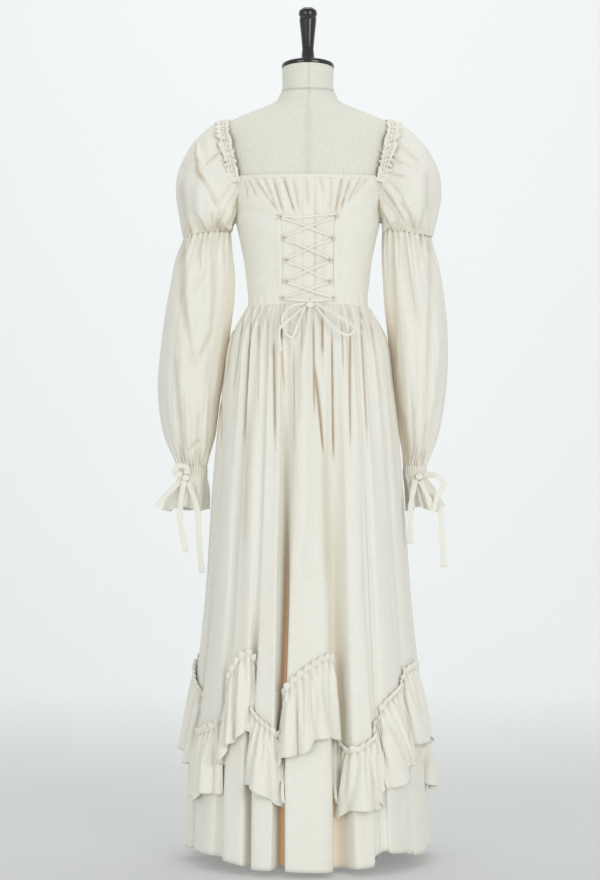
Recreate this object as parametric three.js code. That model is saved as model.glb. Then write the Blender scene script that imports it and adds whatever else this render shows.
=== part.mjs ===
import * as THREE from "three";

// Square-necked dress with puff sleeves on a limbless tailor's form.
// Millimetres, Z up, the dress's back faces -Y, origin on the floor under the pole.
// "side" is -1 for the wearer's left (-X) and +1 for the wearer's right (+X).

const CLOTH = 1.7; // wall of every cloth piece
const SEAM = 0.4; // gap between pieces that are sewn together
const CLEAR = 2; // air between the form and the cloth on it

const WAIST = 1114;
const NECKLINE = 1360;
const UNDERARM = 1290;
const HEM = 14;

const COLOURS = {
  cloth: 0xe9e6da,
  trim: 0xe4e0d2,
  linen: 0xd9d9cb,
  black: 0x121212,
  steel: 0xb9bcbc,
};

const root = new THREE.Group();
root.name = "renaissance_dress";

function add(name, geometry, colour, roughness = 0.9, metalness = 0) {
  const material = new THREE.MeshStandardMaterial({ color: colour, roughness, metalness });
  const mesh = new THREE.Mesh(geometry, material);
  mesh.name = name;
  root.add(mesh);
}

const radians = (degrees) => (degrees * Math.PI) / 180;
const mix = (a, b, t) => a + (b - a) * t;
const point = (x, y, z) => new THREE.Vector3(x, y, z);

// Reads one named column of a table whose rows run along `key`.
function lookup(rows, key, at, name) {
  const rising = rows[rows.length - 1][key] > rows[0][key];
  const sorted = rising ? rows : [...rows].reverse();
  const last = sorted.length - 1;
  const value = Math.min(Math.max(at, sorted[0][key]), sorted[last][key]);
  const upper = Math.max(1, sorted.findIndex((row) => row[key] >= value));
  const low = sorted[upper - 1];
  const high = sorted[upper];
  return mix(low[name], high[name], (value - low[key]) / (high[key] - low[key]));
}

// One closed body from a list of points and a list of faces of three or four points.
function solid(points, faces) {
  const geometry = new THREE.BufferGeometry();
  geometry.setAttribute("position", new THREE.Float32BufferAttribute(points.flatMap((p) => p.toArray()), 3));
  const triangles = faces.flatMap(([a, b, c, d]) => (d === undefined ? [a, b, c] : [a, b, c, a, c, d]));
  geometry.setIndex(triangles);
  geometry.computeVertexNormals();
  return geometry;
}

function mirrored(geometry) {
  const copy = geometry.clone();
  copy.scale(-1, 1, 1);
  const index = [...copy.getIndex().array];
  for (let i = 0; i < index.length; i += 3) {
    [index[i], index[i + 1]] = [index[i + 1], index[i]];
  }
  copy.setIndex(index);
  copy.computeVertexNormals();
  return copy;
}

const forSide = (side, geometry) => (side < 0 ? mirrored(geometry) : geometry);

// Outward direction at each point of a grid whose rows run down the cloth and whose
// columns run counter-clockwise as seen from above.
function normalsOf(grid, ring) {
  const columns = grid[0].length;
  return grid.map((row, i) =>
    row.map((_, j) => {
      const above = grid[Math.max(i - 1, 0)][j];
      const below = grid[Math.min(i + 1, grid.length - 1)][j];
      const before = ring ? row[(j + columns - 1) % columns] : row[Math.max(j - 1, 0)];
      const after = ring ? row[(j + 1) % columns] : row[Math.min(j + 1, columns - 1)];
      const down = below.clone().sub(above);
      const along = after.clone().sub(before);
      return down.cross(along).normalize();
    }),
  );
}

// A cloth wall: the grid is its outer face, the inner face lies one thickness inside.
function wall(grid, { ring = false, thickness = CLOTH } = {}) {
  const rows = grid.length;
  const columns = grid[0].length;
  const normals = normalsOf(grid, ring);
  const outer = grid.flat();
  const inner = outer.map((p, k) => p.clone().addScaledVector(normals.flat()[k], -thickness));
  const shift = outer.length;
  const at = (i, j) => i * columns + (j % columns);
  const spans = ring ? columns : columns - 1;
  const faces = [];
  for (let j = 0; j < spans; j += 1) {
    for (let i = 0; i < rows - 1; i += 1) {
      // Both faces are split along the same, shorter diagonal, so that a twisted wall stays open.
      const corners = [at(i, j), at(i + 1, j), at(i + 1, j + 1), at(i, j + 1)];
      const [p, q, r, s] = corners.map((k) => outer[k]);
      const [a, b, c, d] = q.distanceTo(s) < p.distanceTo(r) ? [...corners.slice(1), corners[0]] : corners;
      faces.push([a, b, c, d]);
      faces.push([a + shift, d + shift, c + shift, b + shift]);
    }
    faces.push([at(0, j), at(0, j + 1), at(0, j + 1) + shift, at(0, j) + shift]);
    faces.push([at(rows - 1, j + 1), at(rows - 1, j), at(rows - 1, j) + shift, at(rows - 1, j + 1) + shift]);
  }
  if (!ring) {
    for (let i = 0; i < rows - 1; i += 1) {
      const end = columns - 1;
      faces.push([at(i + 1, 0), at(i, 0), at(i, 0) + shift, at(i + 1, 0) + shift]);
      faces.push([at(i, end), at(i + 1, end), at(i + 1, end) + shift, at(i, end) + shift]);
    }
  }
  return solid([...outer, ...inner], faces);
}

// A solid stack of closed rings, listed from the top down and closed by a fan at both ends.
function stack(rings) {
  const columns = rings[0].length;
  const centre = (ring) => ring.reduce((sum, p) => sum.add(p), point(0, 0, 0)).divideScalar(columns);
  const points = [...rings.flat(), centre(rings[0]), centre(rings[rings.length - 1])];
  const top = points.length - 2;
  const bottom = points.length - 1;
  const at = (i, j) => i * columns + (j % columns);
  const faces = [];
  for (let j = 0; j < columns; j += 1) {
    for (let i = 0; i < rings.length - 1; i += 1) {
      faces.push([at(i, j), at(i + 1, j), at(i + 1, j + 1), at(i, j + 1)]);
    }
    faces.push([top, at(0, j), at(0, j + 1)]);
    faces.push([bottom, at(rings.length - 1, j + 1), at(rings.length - 1, j)]);
  }
  return solid(points, faces);
}

// A cord or ribbon along a smooth path; `face` is the direction its flat side looks to.
function strip(path, { width, thick, face = point(0, -1, 0), steps, sides = 8 }) {
  const curve = new THREE.CatmullRomCurve3(path, false, "centripetal");
  const rings = Array.from({ length: steps + 1 }, (_, i) => {
    const centre = curve.getPointAt(i / steps);
    const ahead = curve.getTangentAt(i / steps);
    const across = ahead.clone().cross(face).normalize();
    const up = across.clone().cross(ahead).normalize();
    return Array.from({ length: sides }, (_, j) => {
      const turn = (2 * Math.PI * (j + 0.5)) / sides;
      return centre
        .clone()
        .addScaledVector(across, (Math.cos(turn) * width) / 2)
        .addScaledVector(up, (Math.sin(turn) * thick) / 2);
    });
  });
  return stack(rings);
}

// Turned parts: rows of radius and height, from the axis at the bottom to the axis at the top.
function turned(rows, segments) {
  const profile = rows.map(({ radius, z }) => new THREE.Vector2(radius, z));
  return new THREE.LatheGeometry(profile, segments).rotateX(Math.PI / 2);
}

// Dress form: linen-covered body, closed at the hips and under the neck cap.
const FORM = [
  { z: 1591, half: 52, back: 52, front: 52 },
  { z: 1541, half: 56, back: 56, front: 54 },
  { z: 1524, half: 67, back: 59, front: 56 },
  { z: 1504, half: 112, back: 62, front: 58 },
  { z: 1486, half: 155, back: 66, front: 62 },
  { z: 1472, half: 172, back: 72, front: 68 },
  { z: 1440, half: 170, back: 86, front: 84 },
  { z: 1400, half: 160, back: 99, front: 112 },
  { z: 1350, half: 150, back: 104, front: 134 },
  { z: 1290, half: 143, back: 102, front: 142 },
  { z: 1240, half: 133, back: 96, front: 126 },
  { z: 1180, half: 121, back: 87, front: 104 },
  { z: 1114, half: 114, back: 82, front: 92 },
  { z: 1060, half: 134, back: 98, front: 100 },
  { z: 1000, half: 148, back: 114, front: 108 },
  { z: 925, half: 146, back: 112, front: 106 },
  { z: 912, half: 134, back: 100, front: 96 },
];
const SQUARENESS = 2.5; // 2 is an ellipse, more is squarer
const NECK_TOP = FORM[0].z;
const FORM_BOTTOM = FORM[FORM.length - 1].z;

const bend = (v, square) => Math.sign(v) * Math.abs(v) ** (2 / square);

// Point on the form at an angle from the centre back, `out` millimetres off its surface.
function onForm(angle, z, out = 0) {
  const square = z > 1524 ? 2 : SQUARENESS;
  const sine = bend(Math.sin(radians(angle)), square);
  const cosine = bend(Math.cos(radians(angle)), square);
  const depth = lookup(FORM, "z", z, cosine > 0 ? "back" : "front") + out;
  return point((lookup(FORM, "z", z, "half") + out) * sine, -depth * cosine, z);
}

function angleAt(x, z, out = 0) {
  const ratio = Math.min(Math.abs(x) / (lookup(FORM, "z", z, "half") + out), 1);
  return (Math.sign(x) * Math.asin(ratio ** (SQUARENESS / 2)) * 180) / Math.PI;
}

const FORM_SIDES = 32;
const CAP_TILT = radians(7); // the neck is cut lower at the front
const formRings = FORM.map(({ z }) =>
  Array.from({ length: FORM_SIDES }, (_, j) => {
    const place = onForm((360 * j) / FORM_SIDES, z);
    return z === NECK_TOP ? place.setZ(z - place.y * Math.tan(CAP_TILT)) : place;
  }),
);
add("form_torso", stack(formRings), COLOURS.linen, 0.85);

// Neck cap and turned handle, heights above the neck and along its tilted axis.
const NECK_CAP = [
  { radius: 0, z: SEAM },
  { radius: 52.5, z: SEAM },
  { radius: 53, z: 9 },
  { radius: 47, z: 11.5 },
  { radius: 21, z: 15 },
  { radius: 0, z: 15 },
];
const HANDLE = [
  { radius: 0, z: 15 + SEAM },
  { radius: 19, z: 15 + SEAM },
  { radius: 13.5, z: 24 },
  { radius: 11.5, z: 41 },
  { radius: 14.5, z: 75 },
  { radius: 17.3, z: 104 },
  { radius: 16.2, z: 108 },
  { radius: 18.8, z: 115 },
  { radius: 16, z: 124 },
  { radius: 0, z: 128 },
];
for (const [name, rows, segments] of [["neck_cap", NECK_CAP, 24], ["neck_handle", HANDLE, 12]]) {
  const geometry = turned(rows, segments).rotateX(-CAP_TILT).translate(0, 0, NECK_TOP);
  add(name, geometry, COLOURS.black, 0.25);
}

// Stand: pole from the hips to a round base plate.
const BASE_RADIUS = 140;
const BASE_THICKNESS = 8;
const POLE_RADIUS = 15;
const BASE_PLATE = [
  { radius: 0, z: 0 },
  { radius: BASE_RADIUS, z: 0 },
  { radius: BASE_RADIUS, z: BASE_THICKNESS - 2 },
  { radius: BASE_RADIUS - 3, z: BASE_THICKNESS },
  { radius: 0, z: BASE_THICKNESS },
];
add("base_plate", turned(BASE_PLATE, 32), COLOURS.steel, 0.4, 0.8);
const POLE = [
  { radius: 0, z: BASE_THICKNESS + SEAM },
  { radius: POLE_RADIUS, z: BASE_THICKNESS + SEAM },
  { radius: POLE_RADIUS, z: FORM_BOTTOM - SEAM },
  { radius: 0, z: FORM_BOTTOM - SEAM },
];
add("stand_pole", turned(POLE, 12), COLOURS.steel, 0.35, 0.8);

// Bodice: panels between two edges of the form, all with the same clearance.
const BODICE_OUT = CLEAR + CLOTH;
const BODICE_LEVELS = [NECKLINE, 1350, 1320, 1290, 1240, 1180, WAIST];

// Half width of the laced opening, from the neckline to the waist.
const LACED_EDGE = [
  { z: 1368, x: 84 },
  { z: 1300, x: 65 },
  { z: 1284, x: 57 },
  { z: 1220, x: 51 },
  { z: 1114, x: 53 },
];
// Angle of the armhole edge from the centre back; the side seam runs down from it.
const ARMHOLE = [
  { z: 1368, back: 72, front: 108 },
  { z: 1320, back: 79, front: 101 },
  { z: UNDERARM, back: 89, front: 91 },
  { z: 1110, back: 89.8, front: 90.2 },
];

function panel({ levels, from, to, columns, relief = () => 0, out = BODICE_OUT }) {
  const grid = levels.map((z) =>
    Array.from({ length: columns + 1 }, (_, j) => {
      const angle = mix(from(z), to(z), j / columns);
      return onForm(angle, z, out + relief(j / columns, z));
    }),
  );
  return wall(grid);
}

const bodiceLevels = BODICE_LEVELS.map((z) => (z === WAIST ? z + SEAM / 2 : z));
const lacedAngle = (z) => angleAt(lookup(LACED_EDGE, "z", z, "x"), z, BODICE_OUT);
const seamAngle = (z) => (SEAM / lookup(FORM, "z", z, "back")) * 60;

for (const side of [-1, 1]) {
  const geometry = panel({
    levels: bodiceLevels,
    from: (z) => lacedAngle(z) + seamAngle(z),
    to: (z) => lookup(ARMHOLE, "z", z, "back"),
    columns: 6,
  });
  add(side < 0 ? "side_back_left" : "side_back_right", forSide(side, geometry), COLOURS.cloth);
}

// Gathers of the centre back fan out from the neck casing and die out at the lacing.
const GATHERED_LEVELS = [NECKLINE, 1350, 1320, 1290, 1240, 1180, WAIST + SEAM / 2];
const NECK_GATHERS = 7;
const gatherFade = [
  { z: 1370, depth: 2.4 },
  { z: 1335, depth: 1.8 },
  { z: 1300, depth: 0.4 },
  { z: 1110, depth: 0 },
];
const backGathers = (t, z) =>
  -lookup(gatherFade, "z", z, "depth") * 0.5 * (1 - Math.cos(2 * Math.PI * NECK_GATHERS * t)) * Math.sin(Math.PI * t) ** 0.5;
const gatheredPanel = panel({
  levels: GATHERED_LEVELS,
  from: (z) => -lacedAngle(z) + seamAngle(z),
  to: (z) => lacedAngle(z) - seamAngle(z),
  columns: NECK_GATHERS * 3,
  relief: backGathers,
  out: BODICE_OUT + 1.4,
});
add("back_gathered_panel", gatheredPanel, COLOURS.cloth);

const frontPanel = panel({
  levels: bodiceLevels,
  from: (z) => lookup(ARMHOLE, "z", z, "front"),
  to: (z) => 360 - lookup(ARMHOLE, "z", z, "front"),
  columns: 24,
});
add("bodice_front", frontPanel, COLOURS.cloth);

// Elastic casings along the square neckline.
const CASING_HEIGHT = 8;
const NECK_CORNER = { back: 56, front: 124 };
const casingLevels = [NECKLINE + SEAM + CASING_HEIGHT, NECKLINE + SEAM];
function casing(from, to, columns) {
  return panel({ levels: casingLevels, from: () => from, to: () => to, columns, out: BODICE_OUT + 0.6 });
}
add("neck_casing_back", casing(-NECK_CORNER.back, NECK_CORNER.back, 12), COLOURS.trim);
add("neck_casing_front", casing(NECK_CORNER.front, 360 - NECK_CORNER.front, 12), COLOURS.trim);

// Shoulder straps: neck edge and sleeve edge, from the back neckline over to the front one.
const STRAP = [
  { at: 0.0, neckX: 138, neckY: -64, neckZ: 1361, armX: 148, armY: -46, armZ: 1361 },
  { at: 0.2, neckX: 141, neckY: -66, neckZ: 1412, armX: 157, armY: -53, armZ: 1410 },
  { at: 0.33, neckX: 147, neckY: -57, neckZ: 1464, armX: 171, armY: -40, armZ: 1459 },
  { at: 0.42, neckX: 149, neckY: -34, neckZ: 1491, armX: 177, armY: -25, armZ: 1481 },
  { at: 0.5, neckX: 151, neckY: 0, neckZ: 1498, armX: 180, armY: 0, armZ: 1488 },
  { at: 0.58, neckX: 149, neckY: 33, neckZ: 1491, armX: 177, armY: 25, armZ: 1481 },
  { at: 0.67, neckX: 147, neckY: 56, neckZ: 1464, armX: 171, armY: 41, armZ: 1459 },
  { at: 0.8, neckX: 141, neckY: 72, neckZ: 1412, armX: 157, armY: 56, armZ: 1410 },
  { at: 1.0, neckX: 138, neckY: 82, neckZ: 1361, armX: 148, armY: 58, armZ: 1361 },
];
const strapCurve = (edge) =>
  new THREE.CatmullRomCurve3(STRAP.map((row) => point(row[`${edge}X`], row[`${edge}Y`], row[`${edge}Z`])));
const strapEdges = { neck: strapCurve("neck"), arm: strapCurve("arm") };

// Point of the strap: `along` runs from back to front, `across` from the neck to the sleeve.
function onStrap(along, across, out = 0) {
  const step = 0.01;
  const place = (t, w) => strapEdges.neck.getPoint(t).lerp(strapEdges.arm.getPoint(t), w);
  const ahead = place(Math.min(along + step, 1), across).sub(place(Math.max(along - step, 0), across));
  const wide = place(along, 1).sub(place(along, 0));
  const normal = wide.cross(ahead).normalize();
  return place(along, across).addScaledVector(normal, out);
}

const STRAP_STEPS = 14;
const strapGrid = [0, 1].map((across) =>
  Array.from({ length: STRAP_STEPS + 1 }, (_, j) => onStrap(j / STRAP_STEPS, across, CLOTH)),
);
// Two ruffle rows stand on each strap; each row is one wavy band.
const RUFFLE_WAVES = 9;
const RUFFLE_ROWS = [
  { name: "inner", foot: 0.3, tip: -0.12 },
  { name: "outer", foot: 0.6, tip: 0.78 },
];
function shoulderRuffle({ foot, tip }) {
  const columns = RUFFLE_WAVES * 3;
  const grid = [
    { across: foot, out: CLOTH + 2.1, wave: 0.2 },
    { across: tip, out: CLOTH + 9, wave: 3.2 },
  ].map(({ across, out, wave }) =>
    Array.from({ length: columns + 1 }, (_, j) => {
      const swing = Math.sin((2 * Math.PI * j) / 3) * wave;
      return onStrap(mix(0.04, 0.96, j / columns), across, out + swing);
    }),
  );
  return wall(foot < tip ? grid : grid.reverse(), { thickness: 1.3 });
}
for (const side of [-1, 1]) {
  const label = side < 0 ? "left" : "right";
  add(`shoulder_strap_${label}`, forSide(side, wall(strapGrid)), COLOURS.cloth);
  for (const row of RUFFLE_ROWS) {
    add(`shoulder_ruffle_${row.name}_${label}`, forSide(side, shoulderRuffle(row)), COLOURS.trim);
  }
}

// Puff sleeves: rings that swing from the armhole to the elastic above the elbow.
// top* is the outer end of a ring, under* its end at the body, bow pulls its middle inwards.
const PUFF = [
  { ring: 0, topX: 185.2, topZ: 1479, underX: 153, underZ: 1289, depth: 56, bow: 14 },
  { ring: 1, topX: 208, topZ: 1474, underX: 154, underZ: 1281, depth: 76, bow: 9 },
  { ring: 2, topX: 238, topZ: 1444, underX: 154.5, underZ: 1275, depth: 88, bow: 4 },
  { ring: 3, topX: 262, topZ: 1395, underX: 155, underZ: 1270, depth: 92, bow: 0 },
  { ring: 4, topX: 267, topZ: 1345, underX: 155.5, underZ: 1266, depth: 86, bow: 0 },
  { ring: 5, topX: 261, topZ: 1298, underX: 156, underZ: 1263, depth: 70, bow: 0 },
  { ring: 6, topX: 250, topZ: 1260, underX: 157, underZ: 1260, depth: 46, bow: 0 },
];
const PUFF_GATHERS = 6;
const PUFF_COLUMNS = PUFF_GATHERS * 4;
function puffSleeve() {
  const grid = PUFF.map(({ ring, topX, topZ, underX, underZ, depth, bow }) =>
    Array.from({ length: PUFF_COLUMNS }, (_, j) => {
      const turn = (-2 * Math.PI * j) / PUFF_COLUMNS;
      const edge = Math.abs(ring - 3) / 3;
      const gather = 1 - 0.05 * edge * 0.5 * (1 - Math.cos(PUFF_GATHERS * turn));
      const reach = Math.cos(turn) * gather;
      return point(
        mix(underX, topX, (1 + reach) / 2) - bow * Math.sin(turn) ** 2,
        Math.sin(turn) * depth * gather,
        mix(underZ, topZ, (1 + reach) / 2),
      );
    }),
  );
  return wall(grid.map((row) => row.reverse()), { ring: true });
}

// Lower sleeves: rings from the elastic down to the wrist casing, one column per side.
const SLEEVE = [
  { z: 1259.6, leftOut: 250, leftIn: 157, rightIn: 153, rightOut: 248, depth: 46, gather: 3 },
  { z: 1232, leftOut: 260, leftIn: 155, rightIn: 150, rightOut: 255, depth: 62, gather: 5 },
  { z: 1150, leftOut: 278, leftIn: 154, rightIn: 152, rightOut: 271, depth: 75, gather: 5 },
  { z: 1044, leftOut: 293, leftIn: 168, rightIn: 168, rightOut: 281, depth: 80, gather: 6 },
  { z: 923, leftOut: 299, leftIn: 186, rightIn: 186, rightOut: 276, depth: 74, gather: 7 },
  { z: 842, leftOut: 285, leftIn: 195, rightIn: 193, rightOut: 260, depth: 54, gather: 6 },
  { z: 790, leftOut: 264, leftIn: 205, rightIn: 194, rightOut: 240, depth: 27, gather: 2 },
];
const SLEEVE_GATHERS = 8;
const SLEEVE_COLUMNS = SLEEVE_GATHERS * 4;
const sleeveForward = (z) => mix(14, 0, (z - 790) / (1260 - 790));

// A horizontal ring between two x values with gathers pressed in; for the +X side.
function ringAt({ z, inX, outX, depth, gather, waves, columns, slant = 0 }) {
  return Array.from({ length: columns }, (_, j) => {
    const turn = (2 * Math.PI * j) / columns;
    const press = gather * 0.5 * (1 - Math.cos(waves * turn));
    const half = (outX - inX) / 2 - press;
    const x = Math.sin(turn) * half;
    return point((inX + outX) / 2 + x, sleeveForward(z) - Math.cos(turn) * (depth - press), z - slant * x);
  });
}

const sideColumns = (row, side) =>
  side < 0 ? { inX: row.leftIn, outX: row.leftOut } : { inX: row.rightIn, outX: row.rightOut };

function lowerSleeve(side) {
  const shape = { waves: SLEEVE_GATHERS, columns: SLEEVE_COLUMNS };
  const grid = SLEEVE.map((row) => ringAt({ ...row, ...sideColumns(row, side), ...shape }));
  return wall(grid, { ring: true });
}

// Cuff: elastic casing and the flounce below it, cut in one.
const CUFF = [
  { z: 789.6, leftOut: 264, leftIn: 205, rightIn: 194, rightOut: 240, depth: 27, gather: 1.5 },
  { z: 772, leftOut: 262, leftIn: 204, rightIn: 193, rightOut: 240, depth: 27, gather: 2 },
  { z: 745, leftOut: 276, leftIn: 204, rightIn: 197, rightOut: 252, depth: 38, gather: 8 },
  { z: 703, leftOut: 294, leftIn: 206, rightIn: 202, rightOut: 268, depth: 48, gather: 15 },
];
const CUFF_WAVES = 7;
function cuffFlounce(side) {
  const grid = CUFF.map((row) =>
    ringAt({ ...row, ...sideColumns(row, side), waves: CUFF_WAVES, columns: CUFF_WAVES * 4 }),
  );
  return wall(grid, { ring: true });
}

for (const side of [-1, 1]) {
  const label = side < 0 ? "left" : "right";
  add(`puff_sleeve_${label}`, forSide(side, puffSleeve()), COLOURS.cloth);
  add(`lower_sleeve_${label}`, forSide(side, lowerSleeve(side)), COLOURS.cloth);
  add(`cuff_flounce_${label}`, forSide(side, cuffFlounce(side)), COLOURS.trim);
}

// Skirt: outline by height, then folds that start as small waist gathers and merge.
const SKIRT = [
  { z: WAIST - SEAM / 2, half: 121, back: 89, front: 99, fold: 0, gather: 3.5, square: 2.5 },
  { z: 1096, half: 136, back: 104, front: 112, fold: 0.02, gather: 6, square: 2.4 },
  { z: 1055, half: 159, back: 128, front: 132, fold: 0.08, gather: 7, square: 2.25 },
  { z: 960, half: 175, back: 153, front: 153, fold: 0.24, gather: 7, square: 2.1 },
  { z: 780, half: 192, back: 181, front: 180, fold: 0.55, gather: 4, square: 2 },
  { z: 500, half: 210, back: 211, front: 210, fold: 0.88, gather: 0, square: 2 },
  { z: 250, half: 236, back: 236, front: 236, fold: 1, gather: 0, square: 2 },
  { z: HEM, half: 247, back: 252, front: 252, fold: 1, gather: 0, square: 2 },
];
// Each row is one valley: angle from the centre back, depth at the hem, and how far
// the folds on both sides close over it.
const FOLDS = [
  { angle: -46, depth: 34, close: 0.11 },
  { angle: -29, depth: 42, close: 0.12 },
  { angle: -14, depth: 60, close: 0.14 },
  { angle: 17, depth: 62, close: 0.07 },
  { angle: 34, depth: 44, close: 0.12 },
  { angle: 56, depth: 32, close: 0.11 },
  { angle: 80, depth: 36, close: 0.12 },
  { angle: 102, depth: 40, close: 0.12 },
  { angle: 126, depth: 48, close: 0.12 },
  { angle: 148, depth: 44, close: 0.12 },
  { angle: 170, depth: 56, close: 0.13 },
  { angle: 196, depth: 58, close: 0.1 },
  { angle: 218, depth: 42, close: 0.12 },
  { angle: 240, depth: 46, close: 0.12 },
  { angle: 262, depth: 38, close: 0.12 },
  { angle: 288, depth: 34, close: 0.12 },
];
const FOLD_STEPS = 8;
const SKIRT_COLUMNS = FOLDS.length * FOLD_STEPS;
const STEEPNESS = 0.065; // how upright the flanks of a fold stand

function foldAt(column) {
  const index = Math.floor(column / FOLD_STEPS) % FOLDS.length;
  const next = FOLDS[(index + 1) % FOLDS.length];
  const wide = (next.angle - FOLDS[index].angle + 360) % 360;
  return { valley: FOLDS[index], next, wide, phase: (column % FOLD_STEPS) / FOLD_STEPS };
}

function skirtPoint(column, { z, half, back, front, fold, gather, square }) {
  const { valley, next, wide, phase } = foldAt(column);
  const turn = 2 * Math.PI * phase;
  const close = mix(valley.close, next.close, phase);
  const shift = fold * (STEEPNESS * Math.sin(2 * turn) - close * Math.sin(turn));
  const angle = radians(valley.angle + wide * (phase + shift));
  const folded = fold * mix(valley.depth, next.depth, phase) * 0.5 * (1 + Math.cos(turn));
  const inset = folded + gather * 0.5 * (1 + Math.cos(2 * turn));
  const depth = Math.cos(angle) > 0 ? back : front;
  return point((half - inset) * bend(Math.sin(angle), square), -(depth - inset) * bend(Math.cos(angle), square), z);
}

const skirtGrid = SKIRT.map((row) => Array.from({ length: SKIRT_COLUMNS }, (_, j) => skirtPoint(j, row)));
const skirtNormals = normalsOf(skirtGrid, true);

// Point on the skirt's outer face below grid column `column`, moved out along its normal.
function onSkirt(column, z, out) {
  const j = column % SKIRT_COLUMNS;
  const row = Math.min(Math.max(1, SKIRT.findIndex((level) => level.z <= z)), SKIRT.length - 1);
  const t = (SKIRT[row - 1].z - z) / (SKIRT[row - 1].z - SKIRT[row].z);
  const place = skirtGrid[row - 1][j].clone().lerp(skirtGrid[row][j], t);
  const normal = skirtNormals[row - 1][j].clone().lerp(skirtNormals[row][j], t).normalize();
  return place.addScaledVector(normal, out);
}

// Cuts one width out of a grid of rings and trims half a seam off both of its side edges.
function widthOf(rows, first, count, seam = SEAM) {
  return rows.map((row) => {
    const cut = Array.from({ length: count + 1 }, (_, j) => row[(first + j) % row.length].clone());
    const trim = (edge, inside) => {
      const inward = cut[inside].clone().sub(cut[edge]).setLength(seam / 2);
      cut[edge].add(inward);
    };
    trim(0, 1);
    trim(count, count - 1);
    return cut;
  });
}

const WIDTHS = ["back", "right", "front", "left"];
const WIDTH_COLUMNS = SKIRT_COLUMNS / WIDTHS.length;
WIDTHS.forEach((name, i) => {
  add(`skirt_${name}`, wall(widthOf(skirtGrid, i * WIDTH_COLUMNS, WIDTH_COLUMNS)), COLOURS.cloth);
});

// Skirt flounce: its heading runs in zigzags round the skirt.
const ZIGZAG = [
  { angle: -64, z: 250 },
  { angle: -52, z: 286 },
  { angle: -47, z: 336 },
  { angle: -41, z: 358 },
  { angle: -38, z: 406 },
  { angle: -32, z: 427 },
  { angle: -29, z: 402 },
  { angle: -25, z: 322 },
  { angle: -21, z: 286 },
  { angle: -15, z: 264 },
  { angle: -12, z: 350 },
  { angle: -7, z: 374 },
  { angle: 1, z: 420 },
  { angle: 10, z: 425 },
  { angle: 14, z: 398 },
  { angle: 20, z: 232 },
  { angle: 26, z: 232 },
  { angle: 31, z: 283 },
  { angle: 40, z: 338 },
  { angle: 52, z: 370 },
  { angle: 68, z: 394 },
  { angle: 90, z: 256 },
  { angle: 114, z: 420 },
  { angle: 140, z: 246 },
  { angle: 163, z: 424 },
  { angle: 187, z: 250 },
  { angle: 212, z: 426 },
  { angle: 240, z: 250 },
  { angle: 268, z: 404 },
  { angle: 296, z: 250 },
];
const FLOUNCE_DROP = { valley: 112, peak: 140 };
const HEADING = 12; // frill above the stitching
const VALLEY_OUT = CLOTH + 2;
const flounceRows = [
  { down: 0, rise: HEADING, out: 6, wave: 4 },
  { down: 0, rise: 0, out: CLOTH + 1.8, wave: 0.4 },
  { down: 1, rise: 0, out: 8, wave: 17 },
];
function flouncePoint(column, { down, rise, out, wave }) {
  const { valley, wide, phase } = foldAt(column);
  const angle = valley.angle + wide * phase;
  const turned = angle < ZIGZAG[0].angle ? angle + 360 : angle;
  const seam = lookup(ZIGZAG, "angle", turned, "z");
  const drop = mix(FLOUNCE_DROP.valley, FLOUNCE_DROP.peak, (seam - 232) / (426 - 232));
  const crown = 0.5 * (1 - Math.cos(2 * Math.PI * phase));
  const swing = 0.5 * (1 + Math.sin((2 * Math.PI * column) / 4)) * crown;
  return onSkirt(column, seam + rise - drop * down, mix(Math.min(out, VALLEY_OUT), out, crown) + wave * swing);
}
const flounceGrid = flounceRows.map((row) =>
  Array.from({ length: SKIRT_COLUMNS }, (_, j) => flouncePoint(j, row)),
);
WIDTHS.forEach((name, i) => {
  add(`skirt_flounce_${name}`, wall(widthOf(flounceGrid, i * WIDTH_COLUMNS, WIDTH_COLUMNS, SEAM * 2.5)), COLOURS.trim);
});

// Lacing: fabric loops on both laced edges and two cords that cross between them.
const LACE = { width: 5, thick: 2 };
const BOW = { x: 4, y: -98, z: 1110 };
const LACE_LOOPS = [
  { z: 1284, x: 54 },
  { z: 1242, x: 47 },
  { z: 1199, x: 42 },
  { z: 1157, x: 42 },
  { z: 1124, x: 48 },
];
const onBack = (x, z, out) => onForm(angleAt(x, z, BODICE_OUT), z, BODICE_OUT + out);

LACE_LOOPS.forEach(({ z, x }, i) => {
  for (const side of [-1, 1]) {
    const path = [
      onBack(x + 13, z + 3.5, 1.1),
      onBack(x + 2, z + 3.5, 6),
      onBack(x - 3, z, 7.6),
      onBack(x + 2, z - 3.5, 6),
      onBack(x + 13, z - 3.5, 1.1),
    ];
    const geometry = strip(path, { width: 2, thick: 2, steps: 5, sides: 5 });
    add(`lace_loop_${side < 0 ? "left" : "right"}_${i + 1}`, forSide(side, geometry), COLOURS.trim);
  }
});

// One cord starts at the upper left loop, the other at the upper right; `lift` keeps the
// second one above the first where they cross.
function lacePath(startSide, lift) {
  const path = [];
  LACE_LOOPS.forEach(({ z, x }, i) => {
    const side = i % 2 === 0 ? startSide : -startSide;
    path.push(onBack(side * (x + 1), z, i === LACE_LOOPS.length - 1 ? 4.6 : 3.4));
    if (i < LACE_LOOPS.length - 1) {
      const next = LACE_LOOPS[i + 1];
      path.push(onBack(side * x * 0.33, mix(z, next.z, 0.33), 3.2 + lift));
      path.push(onBack(-side * x * 0.33, mix(z, next.z, 0.67), 3.2 + lift));
    }
  });
  path.push(point(BOW.x + startSide * 26, BOW.y + 1, BOW.z + 9.5));
  path.push(point(BOW.x + startSide * 0.5, BOW.y, BOW.z + 8.2));
  return path;
}
const laceOptions = { ...LACE, steps: 24, sides: 8 };
add("lace_lower", strip(lacePath(-1, 0), laceOptions), COLOURS.trim);
add("lace_upper", strip(lacePath(1, 3.6), laceOptions), COLOURS.trim);

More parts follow.
